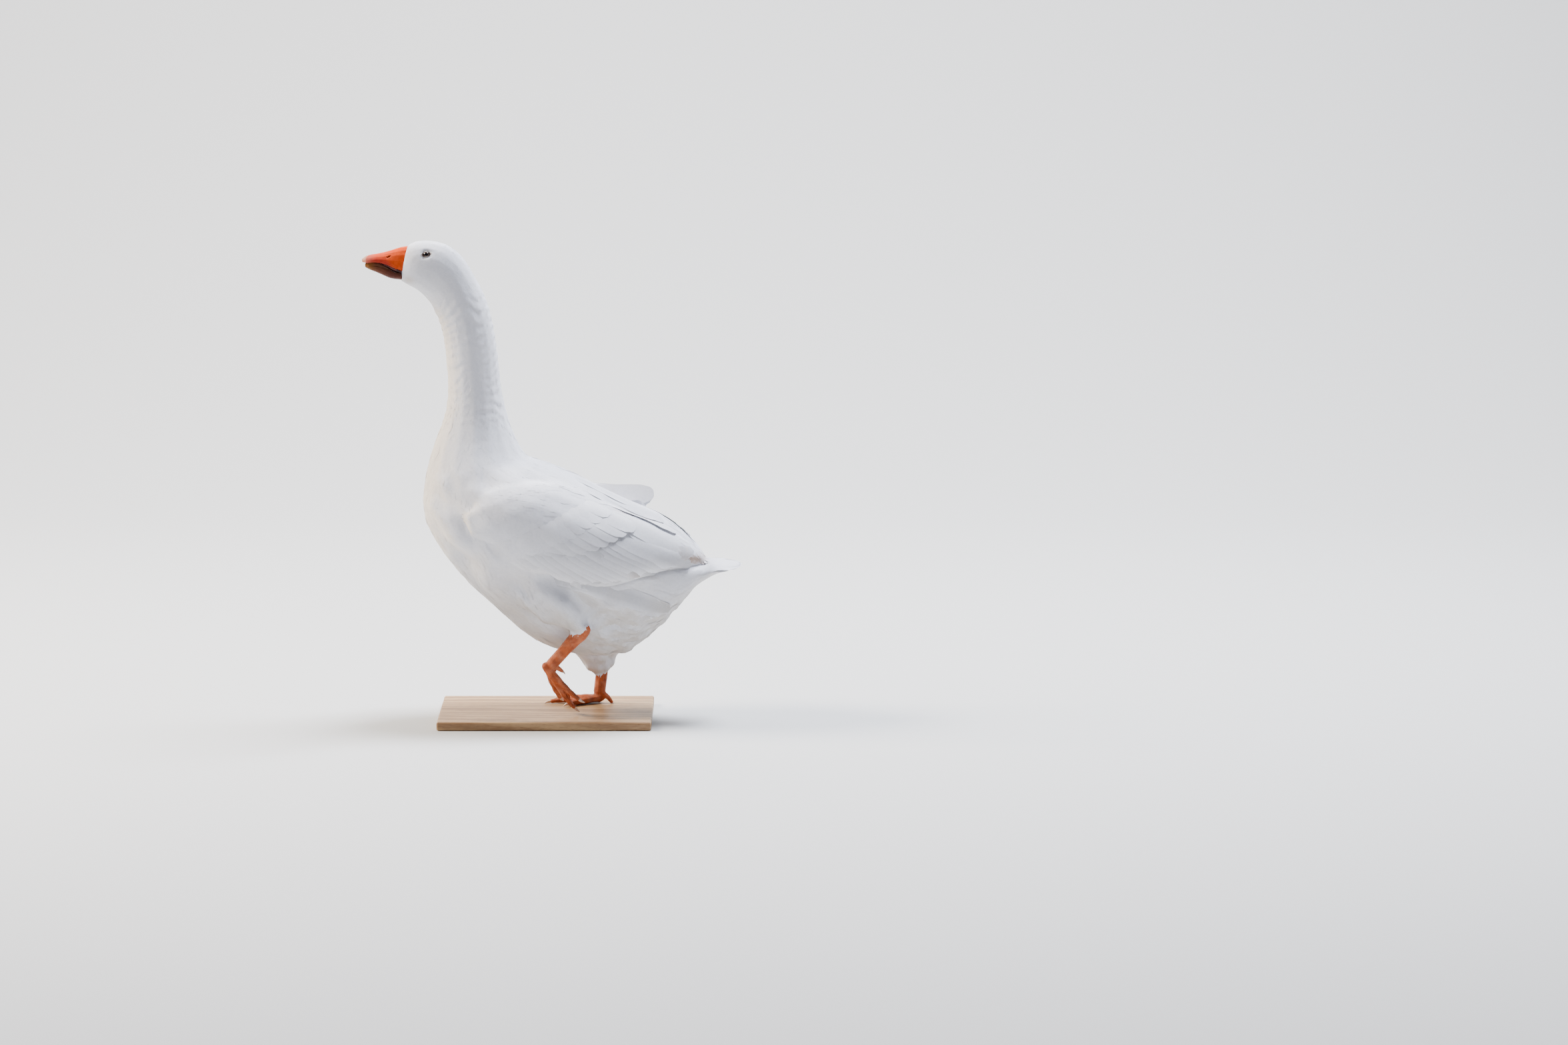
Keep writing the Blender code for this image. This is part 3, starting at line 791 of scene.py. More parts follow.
@dataclass(frozen=True)
class VaneShape:
    """How one kind of feather is cut.

    It has a grid of columns and rows, half widths from root to tip, how far the tip is
    rounded, and how far every so many columns fray at the end.
    """

    columns: int
    rows: int
    widths: tuple[float, ...]
    rounding: float
    fray: float
    notch: int = 2

    def model(self) -> Vane:
        """Model the feather flat, two units wide and two long, and read it as numbers.

        Returns:
            The feather.
        """
        bpy.ops.object.select_all(action="DESELECT")
        bpy.ops.mesh.primitive_grid_add(x_subdivisions=self.columns, y_subdivisions=self.rows, size=2)
        piece = bpy.context.object
        bpy.ops.object.mode_set(mode="EDIT")
        heights = sorted({round(v.co.y, 4) for v in piece.data.vertices})
        places = sorted({round(v.co.x, 4) for v in piece.data.vertices})
        knots = np.linspace(-1, 1, len(self.widths))
        for height in heights:
            pick_vertices(piece, lambda co: abs(co.y - height) < 1e-3)
            wide = float(np.interp(height, knots, self.widths))
            bpy.ops.transform.resize(value=(wide, 1, 1))
        work = bmesh.from_edit_mesh(piece.data)
        order = [v.index for v in sorted(work.verts, key=lambda v: (round(v.co.y, 4), v.co.x))]
        size, rows = len(places), len(heights)
        for column, place in enumerate(places):
            line = [order[row * size + column] for row in range(rows)]
            self.pull_down(piece, line[rows // 2 :], self.rounding * place * place)
            if column % self.notch == 0:
                self.pull_down(piece, line[-1:], self.fray)
        bpy.ops.object.mode_set(mode="OBJECT")
        flat = points_of(piece)
        quads = np.array([tuple(f.vertices) for f in piece.data.polygons])
        bpy.data.objects.remove(piece)
        return Vane(flat[:, 0], (flat[:, 1] + 1) / 2, quads)

    @staticmethod
    def pull_down(piece: Piece, numbers: Sequence[int], distance: float) -> None:
        """Move numbered vertices of a feather towards its root, in edit mode.

        Args:
            piece: the feather.
            numbers: the vertices.
            distance: how far they move.
        """
        for vert in bmesh.from_edit_mesh(piece.data).verts:
            vert.select = vert.index in numbers
        bmesh.update_edit_mesh(piece.data)
        bpy.ops.transform.translate(value=(0, -distance, 0))


class Kind(Enum):
    """The kinds of feather on a goose."""

    VELVET = VaneShape(2, 3, (0.60, 0.95, 0.95, 0.50), 0.30, 0.06)
    NECK = VaneShape(4, 4, (0.55, 0.92, 1.0, 0.90, 0.50), 0.40, 0.05)
    CONTOUR = VaneShape(4, 5, (0.45, 0.85, 1.0, 0.95, 0.80, 0.45), 0.42, 0.03)
    DOWNY = VaneShape(4, 5, (0.40, 0.85, 1.0, 0.85, 0.50), 0.40, 0.13)
    FLIGHT = VaneShape(6, 16, (0.30, 0.75, 0.95, 1.0, 1.0, 1.0, 0.98, 0.90, 0.58), 0.10, 0.01, 3)


def spread_weights(stations: int, along: Array) -> Array:
    """Weights that read a smooth line at places along it.

    Args:
        stations: how many evenly spaced points the line has.
        along: places from 0 to 1.

    Returns:
        One row of weights for each place, one column for each point.
    """
    spot = np.clip(along, 0, 1) * (stations - 1)
    first = np.clip(spot.astype(int), 0, stations - 2)
    share = spot - first
    weights = np.zeros((len(along), stations))
    curve = (
        (-1, -0.5 * share + share**2 - 0.5 * share**3),
        (0, 1 - 2.5 * share**2 + 1.5 * share**3),
        (1, 0.5 * share + 2 * share**2 - 1.5 * share**3),
        (2, -0.5 * share**2 + 0.5 * share**3),
    )
    rows = np.arange(len(along))
    for offset, amount in curve:
        np.add.at(weights, (rows, np.clip(first + offset, 0, stations - 1)), amount)
    return weights


@dataclass
class Quills:
    """Where a batch of feathers lies: their middles and both edges, from root to tip.

    Each array is (points along the feather, feathers, 3).
    """

    middle: Array
    left: Array
    right: Array
    up: Array
    up_left: Array
    up_right: Array


@dataclass
class Batch:
    """A batch of feathers to weave: their quills and how each one stands.

    Lift raises the tip and depth sinks the root. Camber and tilt are shares of half the
    width, ragged is a share of the length, flatness is how much the shading follows the
    body, and shade is painted shadow that darkens the middle of each feather, where the
    one above it covers it.
    """

    quills: Quills
    widths: Array
    lengths: Array
    lift: Array
    depth: Array
    camber: float = 0.12
    tilt: Array | float = 0.0
    ragged: float = 0.03
    flatness: float = 0.5
    shade: float = 0.0


def trace(
    skin: Skin, roots: Array, headings: Array, lengths: Array, widths: Array, stations: int,
    turn: Array | float = 0.0,
) -> Quills:
    """Follow the outline from each root along its heading.

    Args:
        skin: the skin whose outline is followed.
        roots: where each feather starts.
        headings: which way each points.
        lengths: how long each is.
        widths: how wide each is.
        stations: how many points to set along each.
        turn: how far, in radians, each turns towards its left from root to tip.

    Returns:
        The feathers' quills.
    """
    rows: list[list[Array]] = [[], [], [], [], [], []]
    spot, up, _ = skin.surface.settle(roots)
    ahead = flatten_to(headings, up)
    step = (lengths / (stations - 1))[:, None]
    for _ in range(stations):
        side = np.cross(ahead, up)
        left, up_left, _ = skin.surface.settle(spot - side * widths[:, None] / 2)
        right, up_right, _ = skin.surface.settle(spot + side * widths[:, None] / 2)
        for row, value in zip(rows, (spot, left, right, up, up_left, up_right)):
            row.append(value)
        ahead = unit(ahead - side * np.reshape(turn, (-1, 1)) / (stations - 1))
        spot, up, _ = skin.surface.settle(spot + ahead * step)
        ahead = flatten_to(ahead, up)
    return Quills(*(np.array(row) for row in rows))


class BakeMap:
    """An unwrap of the goose's own outline, which gives each feather its patch."""

    def __init__(
        self, skin: Skin, patch: float = 0.003, lightness: float = 0.06, corner: float = 70.0,
        margin: float = 0.004,
    ) -> None:
        """Unwrap a light copy of the outline.

        Args:
            skin: the skin whose outline is unwrapped.
            patch: the size of a feather's patch on the unwrap.
            lightness: the share of the outline's faces that the light copy keeps.
            corner: the angle in degrees at which the unwrap is cut.
            margin: the gap between its pieces.
        """
        self.patch = patch
        mesh = bpy.data.meshes.new("unwrap")
        mesh.from_pydata(skin.surface.points.tolist(), [], skin.surface.triangles.tolist())
        piece = bpy.data.objects.new("unwrap", mesh)
        bpy.context.scene.collection.objects.link(piece)
        apply_modifier(piece, "DECIMATE", ratio=lightness)
        with editing():
            bpy.ops.mesh.select_all(action="SELECT")
            bpy.ops.uv.smart_project(angle_limit=math.radians(corner), island_margin=margin)
        triangles = triangles_of(piece)
        loops = np.empty(len(triangles) * 3, np.int32)
        piece.data.loop_triangles.foreach_get("loops", loops)
        spots = np.empty(len(piece.data.loops) * 2, np.float32)
        piece.data.uv_layers.active.data.foreach_get("uv", spots)
        self.spots = spots.reshape(-1, 2)[loops.reshape(-1, 3)]
        self.shell = Surface(points_of(piece), triangles)
        bpy.data.objects.remove(piece)

    def at(self, points: Array) -> Array:
        """Read the unwrap at the nearest place to each point."""
        places, _, faces = self.shell.settle(points)
        return (self.spots[faces] * self.shell.shares(places, faces)[:, :, None]).sum(axis=1)


class PaintedGapShadow(NamedTuple):
    """A soft painted shadow where the feathers part: its place, its length and height, and its strength.

    Places are (x, z) in millimetres.
    """

    place: Pair
    spread: Pair
    strength: float


@dataclass(frozen=True)
class Markings:
    """The colours of the plumage, the same for the skin and the feathers, with painted light and shade
    laid into them.
    """

    white: str = "DFDFE3"
    painted_warm_light: str = "DDD2C3"
    # Belly colour: partly dirt, partly painted shade on the surfaces that face down.
    belly: str = "AFA89E"
    cheek: str = "BBA78F"
    # The brownish colour of the painted shadow where the feathers part.
    gap_shadow_colour: str = "9A7A5C"
    gap_shadows: tuple[PaintedGapShadow, ...] = (
        PaintedGapShadow((224, 266), (18, 4.5), 1.0),
        PaintedGapShadow((145, 249), (24, 2.5), 0.4),
        PaintedGapShadow((112, 341), (16, 2), 0.35),
    )
    belly_dirt_and_shade: float = 0.8
    cheek_share: float = 0.45
    most_gap_shadow: float = 0.8

    def at(self, points: Array, normals: Array) -> Array:
        """Colour places on the goose.

        Args:
            points: the places.
            normals: the outward normals there.

        Returns:
            Linear red, green and blue for each place.
        """
        x, _, z = (points / MM).T
        # Painted warm light: the surfaces that face forward are given a cream tint.
        front = smooth_step(-normals[:, 0], 0.25, 0.95)
        front = front * smooth_step(z, 180, 300) * smooth_step(z, 690, 640)
        # Downward-facing surfaces low on the body take the belly colour: partly dirt, partly painted
        # shade.
        under = smooth_step(-normals[:, 2], -0.1, 0.8) * smooth_step(z, 300, 160)
        cheek = np.exp(-(((x + 226) / 9) ** 2 + ((z - 706) / 7) ** 2))
        # Painted shadow: brownish streaks where the feathers part on the wing and near the tail.
        gap_shading = np.zeros(len(points))
        for (at_x, at_z), (wide, tall), strength in self.gap_shadows:
            aside, rise = x - at_x, z - at_z
            slant = (aside * 0.45 + rise * 0.89) / tall
            gap_shading += strength * np.exp(-((aside / wide) ** 2 + slant**2))
        layers = (
            (self.painted_warm_light, front),
            (self.belly, self.belly_dirt_and_shade * under),
            (self.cheek, self.cheek_share * cheek),
            (self.gap_shadow_colour, np.clip(gap_shading, 0, self.most_gap_shadow)),
        )
        return layered(self.white, layers)


# Attributes that materials read, and the size of one unit of a vane's own map.
TINT = "plumage_tint"
BILL_TINT = "bill_tint"
LID_EDGE = "lid_edge"
PATTERN_SPAN = 100 * MM


class Weaver:
    """Weaves batches of feathers into pieces, no two feathers of quite the same white."""

    variety: float = 0.012

    def __init__(self, bake: BakeMap, marks: Markings) -> None:
        """Keep the unwrap and the markings, and model each kind of feather once."""
        self.bake, self.marks = bake, marks
        self.vanes = {kind: kind.value.model() for kind in Kind}

    def weave(self, name: str, kind: Kind, batch: Batch, seed: int) -> Piece:
        """Make one piece of all the feathers of a batch.

        Args:
            name: the piece's name.
            kind: the kind of feather.
            batch: where the feathers lie and how they stand.
            seed: what makes the raggedness repeatable.

        Returns:
            The piece, with its two UV maps, colours and normals.
        """
        random = np.random.default_rng(seed)
        vane, quills = self.vanes[kind], batch.quills
        weights = spread_weights(len(quills.middle), vane.along)
        middle, left, right, up, up_left, up_right = (
            np.einsum("vs,snk->nvk", weights, line) for line in vars(quills).values()
        )
        u = vane.across[None, :, None]
        places = middle + u * (right - left) / 2 + u * u * ((right + left) / 2 - middle)
        normals = unit(up + u * (up_right - up_left) / 2 + u * u * ((up_right + up_left) / 2 - up))
        height = self.heights(vane, batch)
        outer = smooth_step(vane.along, 0.45, 1.0)[None, :]
        shape = (len(batch.lengths), len(vane.along))
        shake, lengths = random.normal(0, 1, shape), batch.lengths[:, None]
        height = height + shake * batch.ragged * batch.widths[:, None] / 2 * 0.5 * outer
        places = places + normals * height[:, :, None]
        run = unit(middle[:, -1] - middle[:, 0])[:, None, :]
        slip = random.normal(0, 1, shape) * batch.ragged * lengths * outer
        places = places + run * slip[:, :, None]
        own_normals = self.vertex_normals(places, vane)
        shading = unit(normals * batch.flatness + own_normals * (1 - batch.flatness))
        tint = self.marks.at(middle.reshape(-1, 3), up.reshape(-1, 3)).reshape(*shape, 3)
        tint = tint * (1 + random.normal(0, self.variety, (shape[0], 1, 1)))
        across, v = vane.across[None, :], vane.along[None, :]
        # Painted shadow: the middle of each feather is darkened where the one above it covers it.
        tint = tint * (1 - batch.shade * smooth_step(np.abs(across), 0.9, 0.35)[:, :, None])
        half = batch.widths[:, None] / 2
        own = np.stack([0.5 + across * half / PATTERN_SPAN, v * lengths / PATTERN_SPAN], axis=2)
        patch = self.bake.patch * np.stack(np.broadcast_arrays(across * 0.5, v - 0.5), axis=2)
        spots = self.bake.at(quills.middle[0])[:, None, :] + patch
        return self.piece(name, vane, places, shading, tint, own, spots)

    @staticmethod
    def heights(vane: Vane, batch: Batch) -> Array:
        """How high each vertex stands over the body: tip lifted, root sunk, vane arched.

        Args:
            vane: the feather.
            batch: how each one stands.

        Returns:
            One row of heights for each feather.
        """
        half, across, along = batch.widths[:, None] / 2, vane.across[None, :], vane.along[None, :]
        height = batch.lift[:, None] * along**1.2 - batch.depth[:, None] * (1 - along) ** 1.3
        arch = (1 - across**2) * np.sin(np.pi * np.clip(along, 0, 1)) ** 0.7
        return height + batch.camber * half * arch + np.reshape(batch.tilt, (-1, 1)) * across * half

    @staticmethod
    def vertex_normals(places: Array, vane: Vane) -> Array:
        """Read the normals of each feather's own vertices from its faces.

        Args:
            places: the vertices of each feather.
            vane: the feather.

        Returns:
            The normals.
        """
        a, b, c, d = (places[:, vane.quads[:, k]] for k in range(4))
        faces = np.cross(c - a, d - b)
        total = np.zeros_like(places)
        for k in range(4):
            np.add.at(total, (slice(None), vane.quads[:, k]), faces)
        return unit(total)

    @staticmethod
    def piece(
        name: str, vane: Vane, places: Array, normals: Array, tint: Array, own: Array, spots: Array
    ) -> Piece:
        """Join many feathers into one mesh object.

        Args:
            name: the object's name.
            vane: the feather that is repeated.
            places: the vertices of each feather.
            normals: their normals.
            tint: their colours.
            own: their places on the feather, for its pattern.
            spots: their places on the goose's unwrap.

        Returns:
            The object.
        """
        count, size = places.shape[:2]
        quads = (vane.quads[None] + (np.arange(count) * size)[:, None, None]).reshape(-1, 4)
        mesh = bpy.data.meshes.new(name)
        mesh.vertices.add(count * size)
        mesh.vertices.foreach_set("co", places.astype(np.float32).ravel())
        mesh.loops.add(quads.size)
        mesh.loops.foreach_set("vertex_index", quads.astype(np.int32).ravel())
        mesh.polygons.add(len(quads))
        mesh.polygons.foreach_set("loop_start", np.arange(0, quads.size, 4, dtype=np.int32))
        mesh.polygons.foreach_set("use_smooth", np.ones(len(quads), bool))
        mesh.update(calc_edges=True)
        for title, values in (("OFBake", spots), ("Vane", own)):
            layer = mesh.uv_layers.new(name=title)
            layer.data.foreach_set("uv", values.reshape(-1, 2)[quads.ravel()].astype(np.float32).ravel())
        made = bpy.data.objects.new(name, mesh)
        bpy.context.scene.collection.objects.link(made)
        paint(made, TINT, tint.reshape(-1, 3))
        mesh.normals_split_custom_set_from_vertices(normals.reshape(-1, 3).astype(np.float32))
        return made


@dataclass(frozen=True)
class Tract:
    """Feathers of one kind over one region, each placed at random but evenly apart.

    Size is a share of the length that the lie of the plumage gives, and the other sizes
    are shares of the feather's own length. Clumps are spaced by clump, gather is how far
    feathers turn to a clump, and stand is how much more the ones at its middle lift.
    """

    name: str
    kind: Kind
    seed: int
    size: float = 0.85
    spacing: float = 0.22
    width: float = 0.46
    lift: float = 0.02
    depth: float = 0.09
    clump: float = 0.9
    gather: float = 0.15
    stand: float = 0.5
    scatter: float = 0.08
    stations: int = 4
    camber: float = 0.05
    ragged: float = 0.02
    flatness: float = 0.8
    least: float = 0.3
    roll: float = 0.03
    root_share: float = 0.45

    def grow(
        self, skin: Skin, weaver: Weaver, amount: Array, steer: Array | None = None
    ) -> Piece:
        """Cover a region with this tract's feathers.

        Args:
            skin: the goose's skin.
            weaver: what weaves the feathers.
            amount: for each vertex of the outline, the feathers' size there, or 0 for none.
            steer: a heading for the whole tract in place of the plumage's lie.

        Returns:
            The piece.
        """
        random = np.random.default_rng(self.seed)
        shares = np.where(amount > 0, np.maximum(amount, self.least), 0)
        spacing = skin.lengths * self.size * self.spacing * shares
        roots, up = skin.surface.scatter(spacing, self.seed)
        count = len(roots)
        headings, lengths, _ = skin.lie.at(roots, up)
        if steer is not None:
            headings = flatten_to(np.tile(steer, (count, 1)), up)
        places, _, faces = skin.surface.settle(roots)
        local = (amount[skin.surface.triangles[faces]] * skin.surface.shares(places, faces)).sum(axis=1)
        lengths = lengths * self.size * np.maximum(local, self.least) * random.uniform(0.85, 1.15, count)
        side = np.cross(headings, up)
        headings = unit(headings + side * random.normal(0, self.scatter, (count, 1)))
        clumps, _ = skin.surface.scatter(spacing * self.clump / self.spacing, self.seed + 1)
        headings, away = self.gathered(roots, up, headings, lengths, clumps)
        near = 1 + self.stand * (2 * np.clip(1 - away, 0, 1) - 0.6)
        lift = lengths * self.lift * near * random.uniform(0.5, 1.5, count)
        widths = lengths * self.width * random.uniform(0.85, 1.15, count)
        starts = roots - headings * (lengths * self.root_share)[:, None]
        batch = Batch(
            trace(skin, starts, headings, lengths, widths, self.stations),
            widths,
            lengths,
            lift,
            lengths * self.depth,
            camber=self.camber,
            tilt=random.normal(0, self.roll, count),
            ragged=self.ragged,
            flatness=self.flatness,
        )
        return weaver.weave(self.name, self.kind, batch, self.seed)

    def gathered(
        self, roots: Array, up: Array, headings: Array, lengths: Array, clumps: Array
    ) -> tuple[Array, Array]:
        """Turn feathers a little towards the clump that each points to.

        Args:
            roots: where the feathers are.
            up: the normals there.
            headings: which way they point.
            lengths: how long they are.
            clumps: the middles of the clumps.

        Returns:
            The new headings, and how far each is from its clump as a share of its spacing.
        """
        aim, beyond, reach = 0.6, 0.35, 1.2
        tree = KDTree(len(clumps))
        for number, clump in enumerate(clumps.tolist()):
            tree.insert(clump, number)
        tree.balance()
        aims = roots + headings * lengths[:, None] * aim
        found = [tree.find(p) for p in aims.tolist()]
        target = clumps[[f[1] for f in found]] + headings * lengths[:, None] * beyond
        away = np.array([f[2] for f in found]) / (lengths * self.clump)
        pull = (self.gather * np.clip(reach - away, 0, 1))[:, None]
        return flatten_to(headings * (1 - pull) + unit(target - roots) * pull, up), away


# Finishes


class Graph:
    """The nodes of one material, added one at a time."""

    def __init__(self, name: str) -> None:
        """Start a material that has only its shader."""
        self.material = bpy.data.materials.new(name)
        self.material.use_nodes = True
        self.tree = self.material.node_tree

    def finish(self, inputs: dict[str | int, object]) -> Material:
        """Feed the shader's inputs and return the material."""
        self.feed(self.tree.nodes["Principled BSDF"], inputs)
        return self.material

    def add(
        self, kind: str, inputs: dict[str | int, object] | None = None, **settings: object
    ) -> bpy.types.Node:
        """Add one node.

        Args:
            kind: the node's type.
            inputs: a value or another node's socket for each named or numbered input.
            settings: the node's own settings.

        Returns:
            The node.
        """
        node = self.tree.nodes.new(kind)
        for key, value in settings.items():
            setattr(node, key, value)
        self.feed(node, inputs or {})
        return node

    def feed(self, node: bpy.types.Node, inputs: dict[str | int, object]) -> None:
        """Link or set a node's inputs.

        Args:
            node: the node.
            inputs: a value or another node's socket for each input.
        """
        for key, value in inputs.items():
            if isinstance(value, Socket):
                self.tree.links.new(value, node.inputs[key])
            else:
                node.inputs[key].default_value = value

    def math(self, operation: str, first: object, second: object = 0.0, third: object = 0.0) -> Socket:
        """Add a Math node and return its output."""
        inputs = {0: first, 1: second, 2: third}
        return self.add("ShaderNodeMath", inputs, operation=operation).outputs[0]

    def times(self, first: object, second: object) -> Socket:
        """Multiply two numbers."""
        return self.math("MULTIPLY", first, second)

    def ramp(self, factor: Socket, low: float, high: float) -> Socket:
        """Map a number smoothly from 0 at low to 1 at high; low may be above high."""
        inputs = {"Value": factor, "From Min": low, "From Max": high}
        return self.add("ShaderNodeMapRange", inputs, interpolation_type="SMOOTHSTEP").outputs["Result"]

    def mix(self, factor: object, first: object, second: object, blend: str = "MIX") -> Socket:
        """Mix two colours, each a socket or a hex code.

        Args:
            factor: how much of the second colour is used.
            first: the first colour.
            second: the second colour.
            blend: how they are mixed.

        Returns:
            The mixed colour.
        """
        first, second = (linear(c) if isinstance(c, str) else c for c in (first, second))
        made = self.add("ShaderNodeMix", data_type="RGBA", blend_type=blend)
        self.feed(made, {0: factor, 6: first, 7: second})
        return made.outputs[2]

    def place(self) -> Socket:
        """The place on the object, in metres."""
        return self.add("ShaderNodeTexCoord").outputs["Object"]

    def attribute(self, name: str, output: str) -> Socket:
        """A value that the mesh stores under a name."""
        return self.add("ShaderNodeAttribute", attribute_name=name).outputs[output]

    def stretched(self, place: Socket, share: float) -> Socket:
        """A place whose pattern is drawn out along x."""
        return self.add("ShaderNodeMapping", {"Vector": place, "Scale": (share, 1.0, 1.0)}).outputs[0]

    def noise(self, size: float, detail: float = 2.0, place: Socket | None = None) -> Socket:
        """Noise with features of this real size, on the object's place unless told.

        Args:
            size: how big its features are.
            detail: how many finer layers it has.
            place: where it is read.

        Returns:
            The noise.
        """
        place = place if place is not None else self.place()
        inputs = {"Vector": place, "Scale": 1 / size, "Detail": detail}
        return self.add("ShaderNodeTexNoise", inputs).outputs["Fac"]

    def cells(self, size: float, softness: float = 0.22) -> Socket:
        """Beads of this real size, from 0 in the creases between them to 1.

        Args:
            size: how big the beads are.
            softness: how wide the creases are.

        Returns:
            The height of the beads.
        """
        inputs = {"Vector": self.place(), "Scale": 1 / size}
        made = self.add("ShaderNodeTexVoronoi", inputs, feature="DISTANCE_TO_EDGE")
        return self.ramp(made.outputs["Distance"], 0.0, softness)

    def bump(self, height: Socket, distance: float) -> Socket:
        """Raise the surface by a height times a distance."""
        inputs = {"Height": height, "Distance": distance, "Strength": 1.0}
        return self.add("ShaderNodeBump", inputs).outputs["Normal"]


@dataclass(frozen=True)
class PlumageFinish:
    """Goose feather: matt white keratin with a fine grain of barbs and a raised shaft."""

    barb: float = 0.7 * MM
    barb_slant: float = -1.3
    barb_height: float = 0.008 * MM
    shaft: float = 0.45 * MM
    mottle: float = 4 * MM
    mottle_share: float = 0.22
    shade: str = "DADCE6"
    roughness: float = 0.72

    def make(self) -> Material:
        """Make the material, which reads the feather's own UV map and its tint.

        Returns:
            The material.
        """
        graph = Graph("plumage")
        tint = graph.attribute(TINT, "Color")
        own = graph.add("ShaderNodeUVMap", uv_map="Vane").outputs[0]
        split = graph.add("ShaderNodeSeparateXYZ", {0: own}).outputs
        aside = graph.math("MULTIPLY_ADD", split[0], PATTERN_SPAN, -PATTERN_SPAN / 2)
        across = graph.math("ABSOLUTE", aside)
        along = graph.times(split[1], PATTERN_SPAN)
        slant = graph.math("MULTIPLY_ADD", across, self.barb_slant, along)
        barbs = graph.math("SINE", graph.times(slant, math.tau / self.barb))
        shaft = graph.ramp(across, self.shaft, self.shaft * 0.3)
        mottle = graph.ramp(graph.noise(self.mottle, 3.0), 0.35, 0.75)
        share = graph.times(mottle, self.mottle_share)
        colour = graph.mix(share, tint, graph.mix(1.0, tint, self.shade, "MULTIPLY"))
        height = graph.math("MULTIPLY_ADD", shaft, 2.0, barbs)
        return graph.finish({
            "Base Color": colour,
            "Roughness": self.roughness,
            "Normal": graph.bump(height, self.barb_height),
            "Specular IOR Level": 0.3,
            "Sheen Weight": 0.15,
            "Sheen Roughness": 0.5,
        })


@dataclass(frozen=True)
class SkinFinish:
    """A goose's skin: white down under the plumage, orange scaled skin on the legs."""

    leg: str = "BE5A26"
    leg_deep: str = "843A18"
    leg_pale: str = "D8906C"
    # The colour of the painted shade in the creases between the scales.
    crease: str = "7C3A22"
    down: str = "CFCFD8"
    scale_size: float = 1.7 * MM
    scale_height: float = 0.22 * MM
    crease_shade_share: float = 0.32
    pale_share: float = 0.35

    def make(self) -> Material:
        """Make the material, which reads how bare the skin is from an attribute.

        Returns:
            The material.
        """
        graph = Graph("skin_of_body_and_legs")
        tint, bare = graph.attribute(TINT, "Color"), graph.attribute("bare", "Fac")
        scales = graph.cells(self.scale_size)
        wear = graph.ramp(graph.noise(9 * MM, 4.0), 0.30, 0.80)
        blush = graph.ramp(graph.noise(17 * MM, 3.0), 0.42, 0.66)
        orange = graph.mix(wear, self.leg, self.leg_deep)
        orange = graph.mix(graph.times(blush, self.pale_share), orange, self.leg_pale)
        # Painted shade: the creases between the scales are darkened.
        crease_shading = graph.math("MULTIPLY_ADD", scales, -self.crease_shade_share, self.crease_shade_share)
        orange = graph.mix(crease_shading, orange, self.crease)
        down = graph.mix(graph.times(graph.noise(2 * MM), 0.12), tint, self.down)
        height = graph.times(scales, bare)
        pores = graph.times(graph.noise(0.6 * MM, 3.0), 0.35)
        return graph.finish({
            "Base Color": graph.mix(bare, down, orange),
            "Roughness": graph.math("MULTIPLY_ADD", scales, -0.12, 0.58),
            "Normal": graph.bump(graph.math("ADD", height, pores), self.scale_height),
            "Specular IOR Level": 0.3,
        })


@dataclass(frozen=True)
class BillFinish:
    """Bill horn: orange at the base, pinker along the cutting edge, with a pale nail."""

    worn: str = "DDA088"
    fibre: str = "F0B090"
    cloud_share: float = 0.35
    fibre_share: float = 0.03
    relief: float = 0.18 * MM

    def make(self) -> Material:
        """Make the material, which reads the bill's large colours from an attribute.

        Returns:
            The material.
        """
        graph = Graph("bill_horn")
        tint = graph.attribute(BILL_TINT, "Color")
        fibres = graph.noise(1.1 * MM, 4.0, graph.stretched(graph.place(), 0.35))
        cloud = graph.ramp(graph.noise(6 * MM, 3.0), 0.35, 0.7)
        share = graph.times(cloud, self.cloud_share)
        colour = graph.mix(share, tint, graph.mix(1.0, tint, self.worn, "MULTIPLY"))
        colour = graph.mix(graph.times(fibres, self.fibre_share), colour, self.fibre)
        return graph.finish({
            "Base Color": colour,
            "Roughness": graph.math("MULTIPLY_ADD", cloud, 0.12, 0.42),
            "Normal": graph.bump(graph.math("ADD", fibres, graph.times(cloud, 0.6)), self.relief),
            "Specular IOR Level": 0.12,
            "Subsurface Weight": 0.12,
            "Subsurface Radius": (1.0, 0.35, 0.2),
            "Subsurface Scale": 1.5 * MM,
        })


@dataclass(frozen=True)
class HornFinish:
    """Claw horn: pale and slightly clear, with streaks along each claw."""

    pale: str = "E2C4AC"
    dark: str = "8E6A52"

    def make(self) -> Material:
        """Make the material.

        Returns:
            The material.
        """
        graph = Graph("claw_horn")
        streaks = graph.ramp(graph.noise(0.8 * MM, 4.0), 0.35, 0.7)
        return graph.finish({
            "Base Color": graph.mix(graph.times(streaks, 0.6), self.pale, self.dark),
            "Roughness": graph.math("MULTIPLY_ADD", streaks, 0.15, 0.3),
            "Normal": graph.bump(streaks, 0.08 * MM),
        })


@dataclass(frozen=True)
class MouthFinish:
    """Tongue and mouth lining: moist dark pink flesh."""

    flesh: str = "7A3A34"
    deep: str = "3A1614"

    def make(self) -> Material:
        """Make the material.

        Returns:
            The material.
        """
        graph = Graph("tongue_skin")
        patches = graph.ramp(graph.noise(2.5 * MM, 4.0), 0.35, 0.65)
        return graph.finish({
            "Base Color": graph.mix(patches, self.flesh, self.deep),
            "Roughness": graph.math("MULTIPLY_ADD", patches, 0.2, 0.25),
            "Normal": graph.bump(graph.noise(0.5 * MM), 0.1 * MM),
        })


